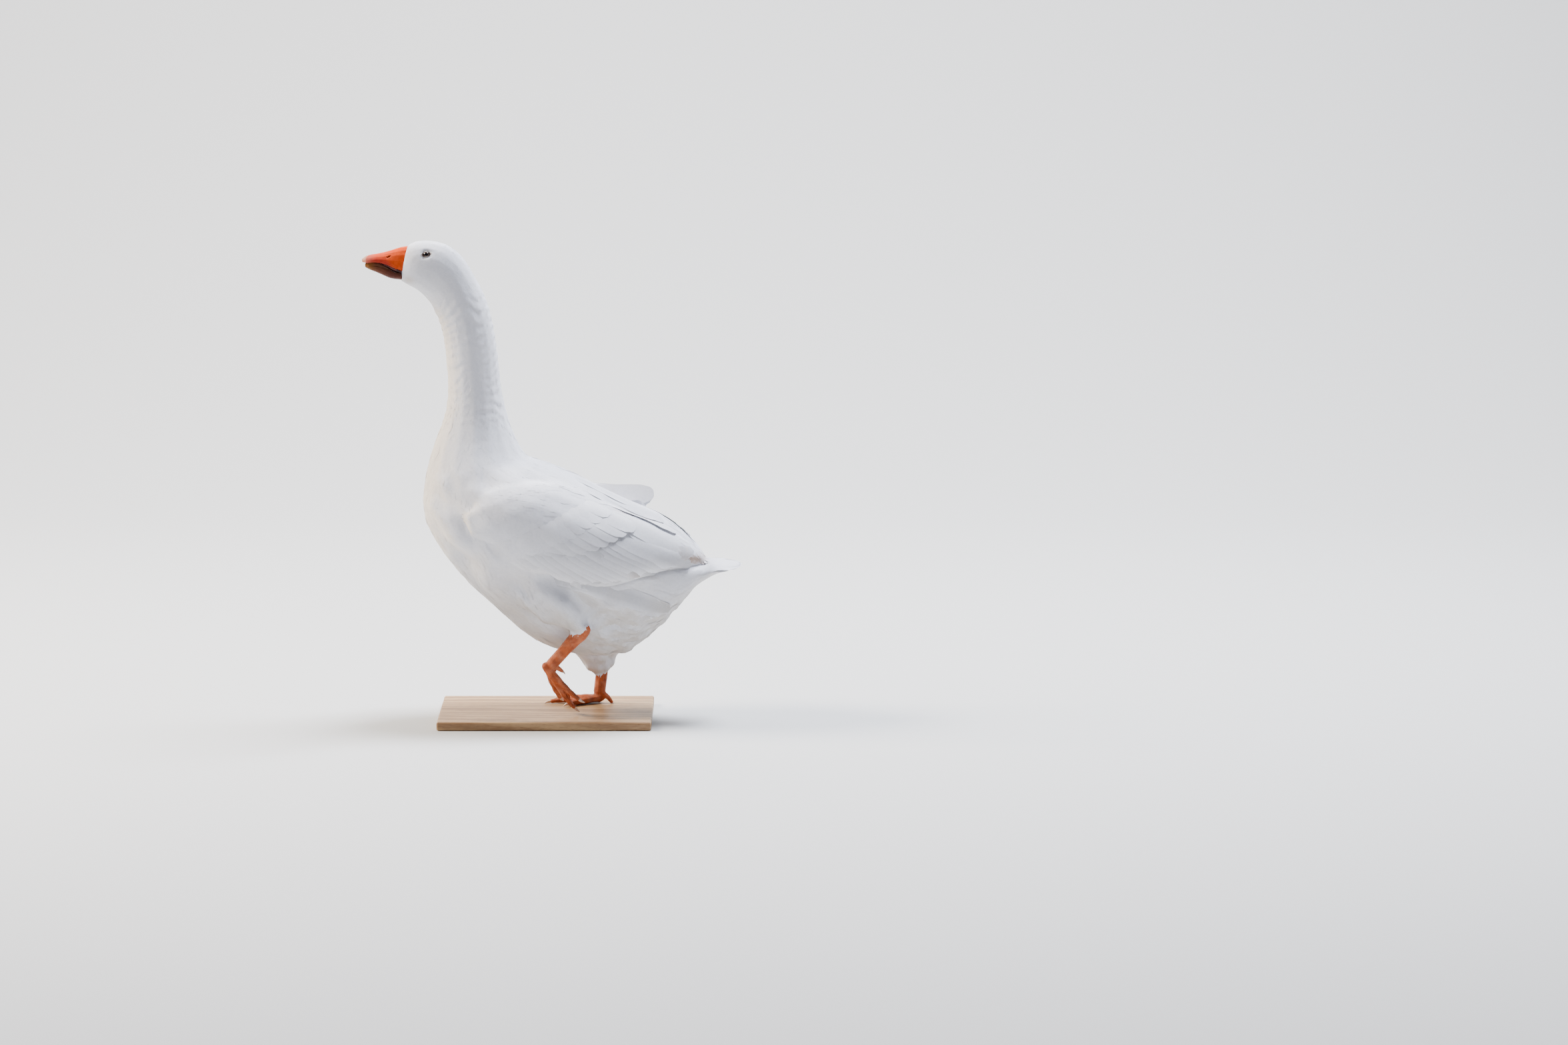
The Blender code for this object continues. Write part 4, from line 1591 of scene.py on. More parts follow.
@dataclass(frozen=True)
class EyeFinish:
    """A goose's eye: dark brown iris, large pupil, wet surface."""

    centre: Pair = (-198.0 * MM, 747.0 * MM)
    pupil: float = 3.1 * MM
    iris: float = 4.9 * MM
    black: str = "020203"
    iris_inner: str = "1E120C"
    iris_outer: str = "20130C"
    rays: str = "36241A"
    ring: str = "0A0706"
    white: str = "1C1512"

    def make(self) -> Material:
        """Make the material, whose rings run round the line of sight.

        Returns:
            The material.
        """
        graph = Graph("eye")
        x, _, z = graph.add("ShaderNodeSeparateXYZ", {0: graph.place()}).outputs
        aside = graph.math("SUBTRACT", x, self.centre[0])
        rise = graph.math("SUBTRACT", z, self.centre[1])
        squares = graph.math("ADD", graph.times(aside, aside), graph.times(rise, rise))
        radius = graph.math("SQRT", squares)
        turns = {0: graph.times(graph.math("ARCTAN2", rise, aside), 9.0), 1: graph.times(radius, 250.0)}
        fan = graph.add("ShaderNodeCombineXYZ", turns).outputs[0]
        rays = graph.noise(1.0, 3.0, fan)
        iris = graph.mix(graph.ramp(radius, self.pupil, self.iris), self.iris_inner, self.iris_outer)
        iris = graph.mix(graph.times(rays, 0.4), iris, self.rays)
        iris = graph.mix(graph.ramp(radius, self.iris * 0.86, self.iris), iris, self.ring)
        eye = graph.mix(graph.ramp(radius, self.pupil * 0.94, self.pupil * 1.06), self.black, iris)
        eye = graph.mix(graph.ramp(radius, self.iris, self.iris * 1.05), eye, self.white)
        return graph.finish({
            "Base Color": eye,
            "Roughness": 0.08,
            "Coat Weight": 0.3,
            "Coat Roughness": 0.02,
            "IOR": 1.34,
        })


@dataclass(frozen=True)
class LidFinish:
    """Eyelid: a bare rim of brown skin whose outer side is covered with white down."""

    rim: str = "553522"
    deep: str = "2C1A12"
    # The colour of the painted shade in the creases between the beads.
    down: str = "DCDAD8"
    bead: float = 0.45 * MM

    def make(self) -> Material:
        """Make the material.

        Returns:
            The material.
        """
        graph = Graph("eyelid_skin")
        beads = graph.cells(self.bead)
        edge = graph.attribute(LID_EDGE, "Fac")
        return graph.finish({
            # Painted shade: the creases between the beads take the deep colour.
            "Base Color": graph.mix(edge, self.down, graph.mix(beads, self.deep, self.rim)),
            "Roughness": graph.math("MULTIPLY_ADD", beads, -0.1, 0.5),
            "Normal": graph.bump(beads, 0.06 * MM),
        })


@dataclass(frozen=True)
class OakFinish:
    """Oiled oak: a light brown board with long grain and open pores."""

    pale: str = "B89468"
    dark: str = "8A6641"
    pore: str = "4E3822"
    ring: float = 22 * MM
    warp: float = 34.0

    def make(self) -> Material:
        """Make the material, whose grain runs along the base.

        Returns:
            The material.
        """
        graph = Graph("oiled_oak")
        along = graph.stretched(graph.place(), 0.09)
        warp = graph.noise(60 * MM, 3.0, along)
        y = graph.add("ShaderNodeSeparateXYZ", {0: graph.place()}).outputs[1]
        turns = graph.times(y, math.tau / self.ring)
        rings = graph.math("SINE", graph.math("MULTIPLY_ADD", warp, self.warp, turns))
        grain = graph.noise(1.4 * MM, 5.0, along)
        pores = graph.ramp(graph.noise(0.8 * MM, 2.0, along), 0.62, 0.72)
        tone = graph.math("MULTIPLY_ADD", rings, 0.28, graph.times(grain, 0.9))
        colour = graph.mix(graph.ramp(tone, 0.1, 0.9), self.pale, self.dark)
        return graph.finish({
            "Base Color": graph.mix(graph.times(pores, 0.45), colour, self.pore),
            "Roughness": graph.math("MULTIPLY_ADD", grain, 0.2, 0.36),
            "Normal": graph.bump(graph.math("SUBTRACT", grain, pores), 0.12 * MM),
        })


@dataclass(frozen=True)
class PaperFinish:
    """Studio paper: pale, matt and nearly even."""

    colour: str = "C6C6C4"
    fibre: str = "B5B5B2"

    def make(self) -> Material:
        """Make the material.

        Returns:
            The material.
        """
        graph = Graph("studio_paper")
        share = graph.times(graph.noise(3 * MM, 3.0), 0.05)
        return graph.finish({"Base Color": graph.mix(share, self.colour, self.fibre), "Roughness": 0.9})


# The plumage


class Side(Enum):
    """The goose's two sides, by which way they face."""

    LEFT = -1
    RIGHT = 1


@dataclass(frozen=True)
class WingRow:
    """A row of long wing feathers, whose tips run from one place to another.

    Places are (x, z) as seen from the wing's side, in millimetres, and slopes are degrees
    below the level. Bow is how far the row of tips sags, rise is how far the first feather
    lies above the goose's outline, and step is how much higher each next one lies.
    """

    name: str
    count: int
    tips: tuple[Pair, Pair]
    bow: float
    slopes: Pair
    lengths: Pair
    width: float
    rise: float
    step: float
    stand: float
    tilt: float
    # How strongly painted shadow darkens the middle of each feather.
    shade: float = 0.0
    turn: float = 0.0
    sink: float = 1.2
    stations: int = 9

    def lay(self, skin: Skin, weaver: Weaver, side: Side, seed: int) -> Piece:
        """Lay the row on one wing.

        Args:
            skin: the goose's skin.
            weaver: what weaves the feathers.
            side: the wing.
            seed: what makes the small differences repeatable.

        Returns:
            The row as one piece.
        """
        random = np.random.default_rng(seed)
        every = np.ones(self.count)
        share = np.linspace(0, 1, self.count)
        tips = np.outer(1 - share, self.tips[0]) + np.outer(share, self.tips[1])
        tips[:, 1] -= self.bow * np.sin(np.pi * share)
        slopes = np.radians(np.interp(share, [0, 1], self.slopes) + random.normal(0, 1.0, self.count))
        lengths = np.interp(share, [0, 1], self.lengths) * random.uniform(0.97, 1.03, self.count)
        roots = tips + np.stack([-np.cos(slopes), np.sin(slopes)], axis=1) * lengths[:, None]
        starts = self.on_the_wing(skin, side, roots * MM)
        headings = np.stack([np.cos(slopes), 0 * every, -np.sin(slopes)], axis=1)
        lengths = lengths * MM
        widths = every * self.width * MM * random.uniform(0.95, 1.05, self.count)
        turn = every * self.turn * side.value
        quills = trace(skin, starts, headings, lengths, widths, self.stations, turn)
        base = (self.rise + self.step * np.arange(self.count)) * MM
        along = smooth_step(np.linspace(0, 1, self.stations), -0.1, 0.4)
        climb = along[:, None, None] * base[None, :, None]
        for line in ("middle", "left", "right"):
            up = quills.up if line == "middle" else getattr(quills, "up_" + line)
            setattr(quills, line, getattr(quills, line) + up * climb)
        batch = Batch(
            quills, widths, lengths, every * self.stand * MM, every * self.sink * MM,
            camber=0.05, tilt=-self.tilt * side.value * every, ragged=0.004, flatness=0.4,
            shade=self.shade,
        )
        return weaver.weave(f"{self.name}_{side.name.lower()}", Kind.FLIGHT, batch, seed)

    @staticmethod
    def on_the_wing(skin: Skin, side: Side, roots: Array) -> Array:
        """Find where roots seen from the side are on the outline.

        Args:
            skin: the goose's skin.
            side: the wing.
            roots: x and z of each root.

        Returns:
            The places.
        """
        outside, inside = 0.3, 0.04
        way = Vector((0, -side.value, 0))
        starts = []
        for x, z in roots:
            hit = skin.surface.tree.ray_cast(Vector((x, side.value * outside, z)), way)[0]
            starts.append(tuple(hit) if hit is not None else (x, side.value * inside, z))
        return np.array(starts)


WING_ROWS = (
    WingRow(
        "primaries", 7, ((168, 247), (243, 262)), bow=3, slopes=(-2, -5), lengths=(190, 215),
        width=30, rise=0.2, step=0.3, stand=2.0, tilt=0.10, shade=0.22,
    ),
    WingRow(
        "secondaries", 13, ((48, 238), (236, 266)), bow=7, slopes=(36, 17), lengths=(118, 150),
        width=34, rise=1.6, step=0.22, stand=3.4, tilt=0.22, shade=0.26,
    ),
    WingRow(
        "tertials", 6, ((118, 322), (238, 259)), bow=-8, slopes=(39, 27), lengths=(128, 150),
        width=33, rise=1.6, step=0.22, stand=1.0, tilt=0.03, shade=0.14,
    ),
    WingRow(
        "greater_coverts", 13, ((-32, 258), (132, 318)), bow=5, slopes=(40, 25), lengths=(62, 74),
        width=29, rise=1.9, step=0.12, stand=0.7, tilt=0.07, shade=0.10,
    ),
    WingRow(
        "median_coverts", 13, ((-62, 272), (92, 340)), bow=5, slopes=(42, 26), lengths=(44, 52),
        width=26, rise=2.1, step=0.10, stand=0.4, tilt=0.04,
    ),
)
# The far wing has fewer tertials on the body, because the others stand up over the back.
FAR_TERTIALS = {"count": 4, "tips": ((190, 306), (230, 268)), "slopes": (34, 36), "width": 28}

# The tracts in the order in which they are laid.
HEAD_TRACT = Tract(
    "feathers_head", Kind.VELVET, 11, size=1.0, spacing=0.24, width=0.50, lift=0.016, depth=0.03,
    clump=1.1, stations=3,
)
NECK_TRACT = Tract(
    "feathers_neck", Kind.NECK, 12, size=1.0, spacing=0.18, width=0.48, lift=0.007, depth=0.008,
    flatness=0.7,
)
BREAST_TRACT = Tract(
    "feathers_breast", Kind.CONTOUR, 13, spacing=0.18, width=0.52, lift=0.006, depth=0.012,
    clump=1.2, gather=0.10, flatness=0.7,
)
BACK_TRACT = Tract(
    "feathers_back", Kind.CONTOUR, 14, spacing=0.18, width=0.52, lift=0.006, depth=0.015,
    clump=1.2, gather=0.08,
)
BELLY_TRACT = Tract(
    "feathers_belly", Kind.DOWNY, 15, spacing=0.17, width=0.42, lift=0.012, depth=0.012,
    gather=0.16, stand=0.8, flatness=0.7,
)
VENT_TRACT = replace(
    BELLY_TRACT, name="feathers_vent", seed=20, gather=0.22, stand=0.9, scatter=0.14, flatness=0.8
)
TAIL_TRACT = Tract(
    "feathers_tail_cover", Kind.CONTOUR, 16, size=0.75, spacing=0.16, width=0.5, depth=0.005,
    lift=0.004, gather=0.03, scatter=0.03, stations=5,
)
FRINGE_TRACT = Tract(
    "feathers_bill_edge", Kind.VELVET, 19, size=0.9, spacing=0.2, width=0.42, lift=0.14,
    depth=-0.12, gather=0.3, stations=3, scatter=0.2,
)
THIGH_TRACT = Tract(
    "feathers_thigh", Kind.DOWNY, 17, size=0.9, spacing=0.17, width=0.40, depth=0.02, clump=0.8,
    gather=0.22, stand=0.9, flatness=0.7,
)
HOCK_TRACT = Tract(
    "feathers_hock", Kind.VELVET, 18, size=0.40, spacing=0.12, width=0.36, lift=0.04, depth=0.0,
    clump=0.8, gather=0.3, stand=0.9, scatter=0.25,
)
WING_COVER_TRACT = Tract(
    "wing_cover", Kind.CONTOUR, 30, size=0.8, spacing=0.18, width=0.56, lift=0.004, depth=0.005,
    gather=0.0, scatter=0.04,
)
LESSER_TRACT = Tract(
    "lesser_coverts", Kind.CONTOUR, 31, size=0.7, spacing=0.18, width=0.58, depth=0.005,
    lift=0.012, clump=1.2, gather=0.05, scatter=0.05,
)
SCAPULAR_TRACT = Tract(
    "scapulars", Kind.CONTOUR, 33, size=1.0, spacing=0.15, width=0.40, depth=0.0, lift=0.01,
    gather=0.04, stand=0.3, scatter=0.03, stations=6, ragged=0.006, flatness=0.85,
)


def free_quills(spines: Array, across: Array, widths: Array) -> Quills:
    """Set out feathers that stand off the body along spines of their own.

    Args:
        spines: points from root to tip, (points, feathers, 3).
        across: the way each feather's left edge lies from its middle, of the same shape.
        widths: how wide each is.

    Returns:
        The feathers' quills.
    """
    ahead = unit(np.gradient(spines, axis=0))
    across = flatten_to(across, ahead)
    up = unit(np.cross(across, ahead))
    reach = across * widths[None, :, None] / 2
    return Quills(spines, spines - reach, spines + reach, up, up, up)


@dataclass
class Plumage:
    """All the feathers of the goose, tract by tract. Regions are set out in millimetres."""

    skin: Skin
    weaver: Weaver
    material: Material
    hem: float = 8.0 * MM
    bill_gap: float = 1.2 * MM
    eye: Pair = (-198.8, 747)
    eye_opening: Pair = (7.2, 4.3)
    fringe: Pair = (2.4, 6.0)
    wing_lie: Triple = (0.84, 0.0, -0.54)

    def place(self, piece: Piece) -> None:
        """Give a woven piece its material and its place in the model."""
        place_piece(piece, self.material)

    def cover(
        self, tract: Tract, amount: Array, label: str = "", steer: Sequence[float] | None = None
    ) -> None:
        """Grow one tract and place it.

        Args:
            tract: the tract.
            amount: the feathers' size at each vertex of the outline, or 0 for none.
            label: the side, where the tract is on both.
            steer: a heading for the whole tract in place of the plumage's lie.
        """
        if label:
            tract = replace(tract, name=f"{tract.name}_{label}")
        way = None if steer is None else np.array(steer)
        self.place(tract.grow(self.skin, self.weaver, amount * 1.0, way))

    def owned_by(self, *parts: Part) -> Array:
        """Mark the outline's vertices that belong to these parts."""
        return np.isin(self.skin.owner, [PARTS.index(p) for p in parts])

    def near(self, within: float, *nodes: str) -> Array:
        """Mark the outline's vertices that lie within a distance of these CAD nodes."""
        points = self.skin.surface.points
        return np.any([gaps_to_node(points, node, within) < FAR for node in nodes], axis=0)

    def raised(self) -> Array:
        """Mark the outline's vertices on the feathers that stand up over the back."""
        return self.owned_by(Part.WING_RIGHT) & standing(self.skin.surface.points)

    def contour(self) -> None:
        """Cover the head, neck and trunk, where runs are the distances from the bill."""
        x, _, z = (self.skin.surface.points / MM).T
        runs = self.skin.runs / MM
        bill = self.near(self.bill_gap, "bill_upper", "bill_lower")
        (eye_x, eye_z), (wide, tall) = self.eye, self.eye_opening
        eye = ((x - eye_x) / wide) ** 2 + ((z - eye_z) / tall) ** 2 < 1
        head = self.owned_by(Part.HEAD, Part.NECK)
        self.cover(HEAD_TRACT, head & (runs < 122) & ~bill & ~eye)
        self.cover(NECK_TRACT, head & (runs > 108) & (runs < 350))
        body = self.owned_by(Part.TRUNK, Part.NECK) & ~self.raised()
        self.cover(BREAST_TRACT, body & (runs > 335) & (runs < 520))
        self.cover(BACK_TRACT, body & (runs > 505) & (z > 285))
        belly = body & (runs > 505) & (z < 300)
        vent = belly & (x > 40) & (z < 172 + (x - 40) * 0.15)
        self.cover(BELLY_TRACT, belly & ~vent)
        self.cover(VENT_TRACT, vent)
        taper = np.interp(x, [262, 292, 292.5], [1.0, 0.35, 0.0])
        self.cover(TAIL_TRACT, self.owned_by(Part.TAIL) * taper)

    def bill_edge(self) -> None:
        """Lay the smallest feathers in a narrow band behind the bill."""
        face = self.skin.fine_face()
        x, _, z = (face.surface.points / MM).T
        behind = x + 240.8 - (z - 721.1) * 0.292
        near, far = self.fringe
        band = (behind > near) & (behind < far)
        self.place(FRINGE_TRACT.grow(face, self.weaver, band * 1.0))

    def thighs(self) -> None:
        """Cover the thighs, with a ragged hem over the top of each shank."""
        for label in ("left", "right"):
            self.cover(THIGH_TRACT, self.owned_by(Part(f"thigh_{label}")), label)
            hock = self.owned_by(Part(f"shank_{label}")) & self.near(self.hem, f"thigh_{label}")
            self.cover(HOCK_TRACT, hock, label)

    def wings(self) -> None:
        """Lay the rows of each wing and the small coverts in front of them."""
        first_seed = 40
        x, y, z = (self.skin.surface.points / MM).T
        for side in Side:
            label = side.name.lower()
            for number, row in enumerate(WING_ROWS):
                if row.name == "tertials" and side is Side.RIGHT:
                    row = replace(row, **FAR_TERTIALS)
                self.place(row.lay(self.skin, self.weaver, side, first_seed + number + side.value))
            wing = self.owned_by(Part(f"wing_{label}")) & ~self.raised()
            self.cover(WING_COVER_TRACT, wing & (x > -70), label, self.wing_lie)
            line = 262 + (x + 60) * 0.62 - 40
            edge = smooth_step(z - line, 0, 22) * smooth_step(x, 60, 40)
            lesser = (wing & (z > line) & (x < 60)) * (0.5 + 0.5 * edge)
            self.cover(LESSER_TRACT, lesser, label, self.wing_lie)
            upper = (z > 404 - (x + 50) * 0.36) & (x > -75) & (x < 190) & (y * side.value > -4)
            scapular = upper & (wing | self.owned_by(Part.TRUNK))
            sizes = np.interp(x, [-75, -20, 80, 190], [0.9, 1.1, 1.35, 1.2])
            self.cover(SCAPULAR_TRACT, scapular * sizes, label)

    def raised_tertials(self) -> None:
        """Stand the far wing's long inner feathers up over the back."""
        tall = np.array([0.0, -0.38, -0.925])
        lines = ((0, 0, 1.0), (-0.8, -5, 0.97), (-1.6, -9, 0.93), (13, 0, 0.99))
        x, y = [28, 62, 95, 128, 159.5], [56, 51.5, 47.5, 43.5, 39]
        profile = np.array([x, y, [356, 354.5, 352, 353.5, 357]]).T
        spines = []
        for out, drop, reach in lines:
            x = profile[0, 0] + (profile[:, 0] - profile[0, 0]) * reach
            y = profile[:, 1] + out * np.linspace(1, 0.45, len(profile))
            spines.append(np.stack([x, y, profile[:, 2] + drop], axis=1) * MM)
        spine = np.array(spines).transpose(1, 0, 2)
        self.free_feathers("raised_tertials_right", spine, tall, (35, 130), 61, 0.02, 0.0)

    def tail(self, count: int = 16, fan: float = 19.0, half_base: float = 27.0) -> None:
        """Spread the tail: the middle feathers lie on top, and each outer one under the last.

        Args:
            count: how many feathers the tail has.
            fan: how far the outermost ones turn out, in degrees.
            half_base: how far from the middle the outermost ones start.
        """
        order = np.linspace(-1, 1, count)
        profile = np.array([(232, 236), (255, 244.5), (277, 249.5), (300, 249.0)])
        shorter, lower, droop = 0.13, 1.0, 0.5
        start, long = profile[0, 0], profile[-1, 0] - profile[0, 0]
        spines = []
        for place in order:
            angle = math.radians(fan) * place
            run = (profile[:, 0] - start) * (1 - shorter * place * place)
            z = profile[:, 1] - lower * abs(place) - droop * place * place * run / long
            line = [start + run * math.cos(angle), half_base * place + run * math.sin(angle), z]
            spines.append(np.stack(line, axis=1) * MM)
        spine = np.array(spines).transpose(1, 0, 2)
        across = np.array([0.0, -1.0, 0.0])
        self.free_feathers("tail_feathers", spine, across, (24, 68), 71, 0.06, order * -0.01)

    def free_feathers(
        self, name: str, spine: Array, across: Array, size: Pair, seed: int,
        camber: float, tilt: Array | float,
    ) -> None:
        """Weave and place long feathers that stand off the body.

        Args:
            name: the piece's name.
            spine: points from root to tip, (points, feathers, 3).
            across: the way from each feather's middle to its left edge.
            size: their width and length in millimetres.
            seed: what makes the small differences repeatable.
            camber: how much each vane is arched.
            tilt: how much each is turned about its shaft.
        """
        every = np.ones(spine.shape[1])
        widths, lengths = every * size[0] * MM, every * size[1] * MM
        quills = free_quills(spine, np.broadcast_to(across, spine.shape).copy(), widths)
        batch = Batch(
            quills, widths, lengths, 0 * every, 0 * every, camber=camber, tilt=tilt, ragged=0.001,
            flatness=0.85,
        )
        self.place(self.weaver.weave(name, Kind.FLIGHT, batch, seed))


# Bill, eyes and claws


@dataclass
class Bill:
    """The two halves of the bill and the tongue between them, places in millimetres."""

    horn: Material
    flesh: Material
    voxel: float = 0.55 * MM
    nostril: Pair = (-257.5, 743.5)
    nostril_lean: float = 0.35
    nail: Triple = (-299, 8.0, 8.2)
    tuck: Triple = (5.0, 0, -0.5)
    edge: tuple[Pair, ...] = (
        (-301, 733.6), (-294, 733.4), (-287, 734.2), (-276, 733.9), (-262, 730.6), (-249, 724.9),
        (-240, 720.8),
    )

    def edge_height(self, x: Array) -> Array:
        """Read the height of the cutting edge along the bill."""
        return np.interp(x, *zip(*self.edge))

    def refine(self, node: str) -> Piece:
        """Copy half of the bill with a fine even mesh, tucked a little into the face.

        Args:
            node: the half's CAD node.

        Returns:
            The copy.
        """
        made = copy_of_nodes([node], node + "_horn")
        points = points_of(made)
        x, _, z = (points / MM).T
        rear = x > np.interp(z, [706, 717.3, 721.1, 760.3], [-242, -242, -240.5, -229.1]) - 1.2
        points[rear] = points[rear] * (1, 0.95, 1) + np.array(self.tuck) * MM
        set_points(made, points)
        remesh(made, self.voxel, 6)
        return made

    def build(self) -> None:
        """Make both halves, the lining and the tongue."""
        upper, lower = self.refine("bill_upper"), self.refine("bill_lower")
        self.shape_upper(upper)
        self.shape_lower(lower)
        for piece, node in ((upper, "bill_upper"), (lower, "bill_lower")):
            shade_smooth(piece)
            place_piece(piece, self.horn, [node])
        self.lining()
        tongue = copy_of_nodes(["tongue"], "tongue_flesh")
        apply_modifier(tongue, "SUBSURF", levels=2, render_levels=2)
        shade_smooth(tongue)
        place_piece(tongue, self.flesh, ["tongue"])

    def lining(self) -> None:
        """Model the flesh at the back and sides of the mouth, inside both halves."""
        cuts, below_edge, roundness = 15, 1.2, 0.45
        stations = [-292, -280, -262, -236]
        select_only()
        bpy.ops.mesh.primitive_cube_add(size=2)
        made = named("mouth_lining")
        with editing():
            bpy.ops.mesh.subdivide(number_cuts=cuts)
        points = points_of(made)
        x = np.interp(points[:, 0], [-1, 1], [stations[0], stations[-1]])
        half_width = np.interp(x, stations, [7.5, 9.2, 10.6, 11.4])
        half_tall = np.interp(x, stations, [0.8, 2.4, 4.2, 5.0])
        y = points[:, 1] * half_width * np.sqrt(np.maximum(1 - roundness * points[:, 2] ** 2, 0))
        z = self.edge_height(x) - below_edge + points[:, 2] * half_tall
        set_points(made, np.stack([x, y, z], axis=1) * MM)
        relax(made, 2)
        shade_smooth(made)
        place_piece(made, self.flesh)

    def shape_upper(self, piece: Piece) -> None:
        """Press in the nostrils, cut round the nail, comb the cutting edge, and colour all.

        Args:
            piece: the upper half.
        """
        points, normals = points_of(piece), normals_of(piece)
        x, y, z = (points / MM).T
        along, rise = x - self.nostril[0], z - self.nostril[1]
        cos, sin = math.cos(self.nostril_lean), math.sin(self.nostril_lean)
        u, w = along * cos + rise * sin, rise * cos - along * sin
        outside = smooth_step(np.abs(y), 3, 6)
        hole = np.exp(-((u / 3.4) ** 4 + (w / 1.25) ** 4)) * outside
        dish = np.exp(-((u / 8.0) ** 2 + (w / 3.6) ** 2)) * outside
        rim = np.exp(-(((np.hypot(u / 4.6, w / 2.3) - 1) / 0.22) ** 2)) * outside
        nail_x, nail_length, nail_width = self.nail
        nail = np.hypot((x - nail_x) / nail_length, y / nail_width)
        groove = np.exp(-(((nail - 1) / 0.10) ** 2)) * smooth_step(z, 738, 742)
        crown = smooth_step(nail, 1.0, 0.7) * smooth_step(z, 735, 738)
        above = z - self.edge_height(x)
        comb = (0.5 + 0.5 * np.sin(x * math.tau / 1.5)) * np.exp(-(((above - 1.0) / 1.3) ** 2))
        comb *= smooth_step(np.abs(y), 4, 8) * smooth_step(x, -293, -286)
        lip = np.exp(-(((above - 3.4) / 0.7) ** 2)) * smooth_step(x, -292, -280)
        shift = -1.7 * hole - 0.45 * dish + 0.18 * rim - 0.32 * groove + 0.25 * crown
        shift = shift - 0.32 * comb - 0.25 * lip
        set_points(piece, points + normals * (shift * MM)[:, None])
        rear = smooth_step(x - (z - 740) * 0.25, -272, -246)
        side = smooth_step(above, 13, 3) * smooth_step(x, -246, -262)
        plate = smooth_step(nail, 1.15, 0.85) * smooth_step(z, 734, 739)
        layers = (
            ("CC4604", 0.95 * rear),
            ("A82820", 0.85 * side),
            ("A85A4C", 0.7 * smooth_step(x, -276, -294)),
            ("B0927C", 0.85 * plate),
            ("B58A74", 0.6 * smooth_step(x, -290, -300)),
            # Painted shade inside the pressed-in nostril.
            ("7E2F16", 0.85 * hole),
            # Painted shade in the grooves of the comb along the cutting edge.
            ("A24A34", 0.5 * np.clip(comb, 0, 1)),
        )
        paint(piece, BILL_TINT, layered("C8441A", layers))

    def shape_lower(self, piece: Piece) -> None:
        """Groove the side of the lower half, comb its edge, and colour it.

        Args:
            piece: the lower half.
        """
        points, normals = points_of(piece), normals_of(piece)
        x, y, z = (points / MM).T
        below = self.edge_height(x) - z
        groove = np.exp(-(((below - 5.5) / 0.8) ** 2)) * smooth_step(x, -296, -285)
        groove = groove * smooth_step(np.abs(y), 4, 7)
        comb = (0.5 + 0.5 * np.sin(x * math.tau / 1.3)) * np.exp(-(((below - 2.0) / 1.2) ** 2))
        comb *= smooth_step(np.abs(y), 4, 8)
        points = points - normals * ((0.35 * groove + 0.28 * comb) * MM)[:, None]
        points[:, 2] += 1.2 * MM * smooth_step(x, -262, -282) * smooth_step(below, 7, 1)
        set_points(piece, points)
        ridge = np.exp(-(((below - 4.5) / 2.2) ** 2)) * smooth_step(x, -284, -268)
        layers = (
            ("3A0A00", 0.85 * smooth_step(x, -272, -252)),
            ("3E3020", 0.5 * ridge),
            ("704602", 0.7 * smooth_step(x, -276, -292)),
            # Painted shade in the grooves of the comb along the cutting edge.
            ("3E160A", 0.55 * np.clip(comb, 0, 1)),
        )
        paint(piece, BILL_TINT, layered("4C1E00", layers))


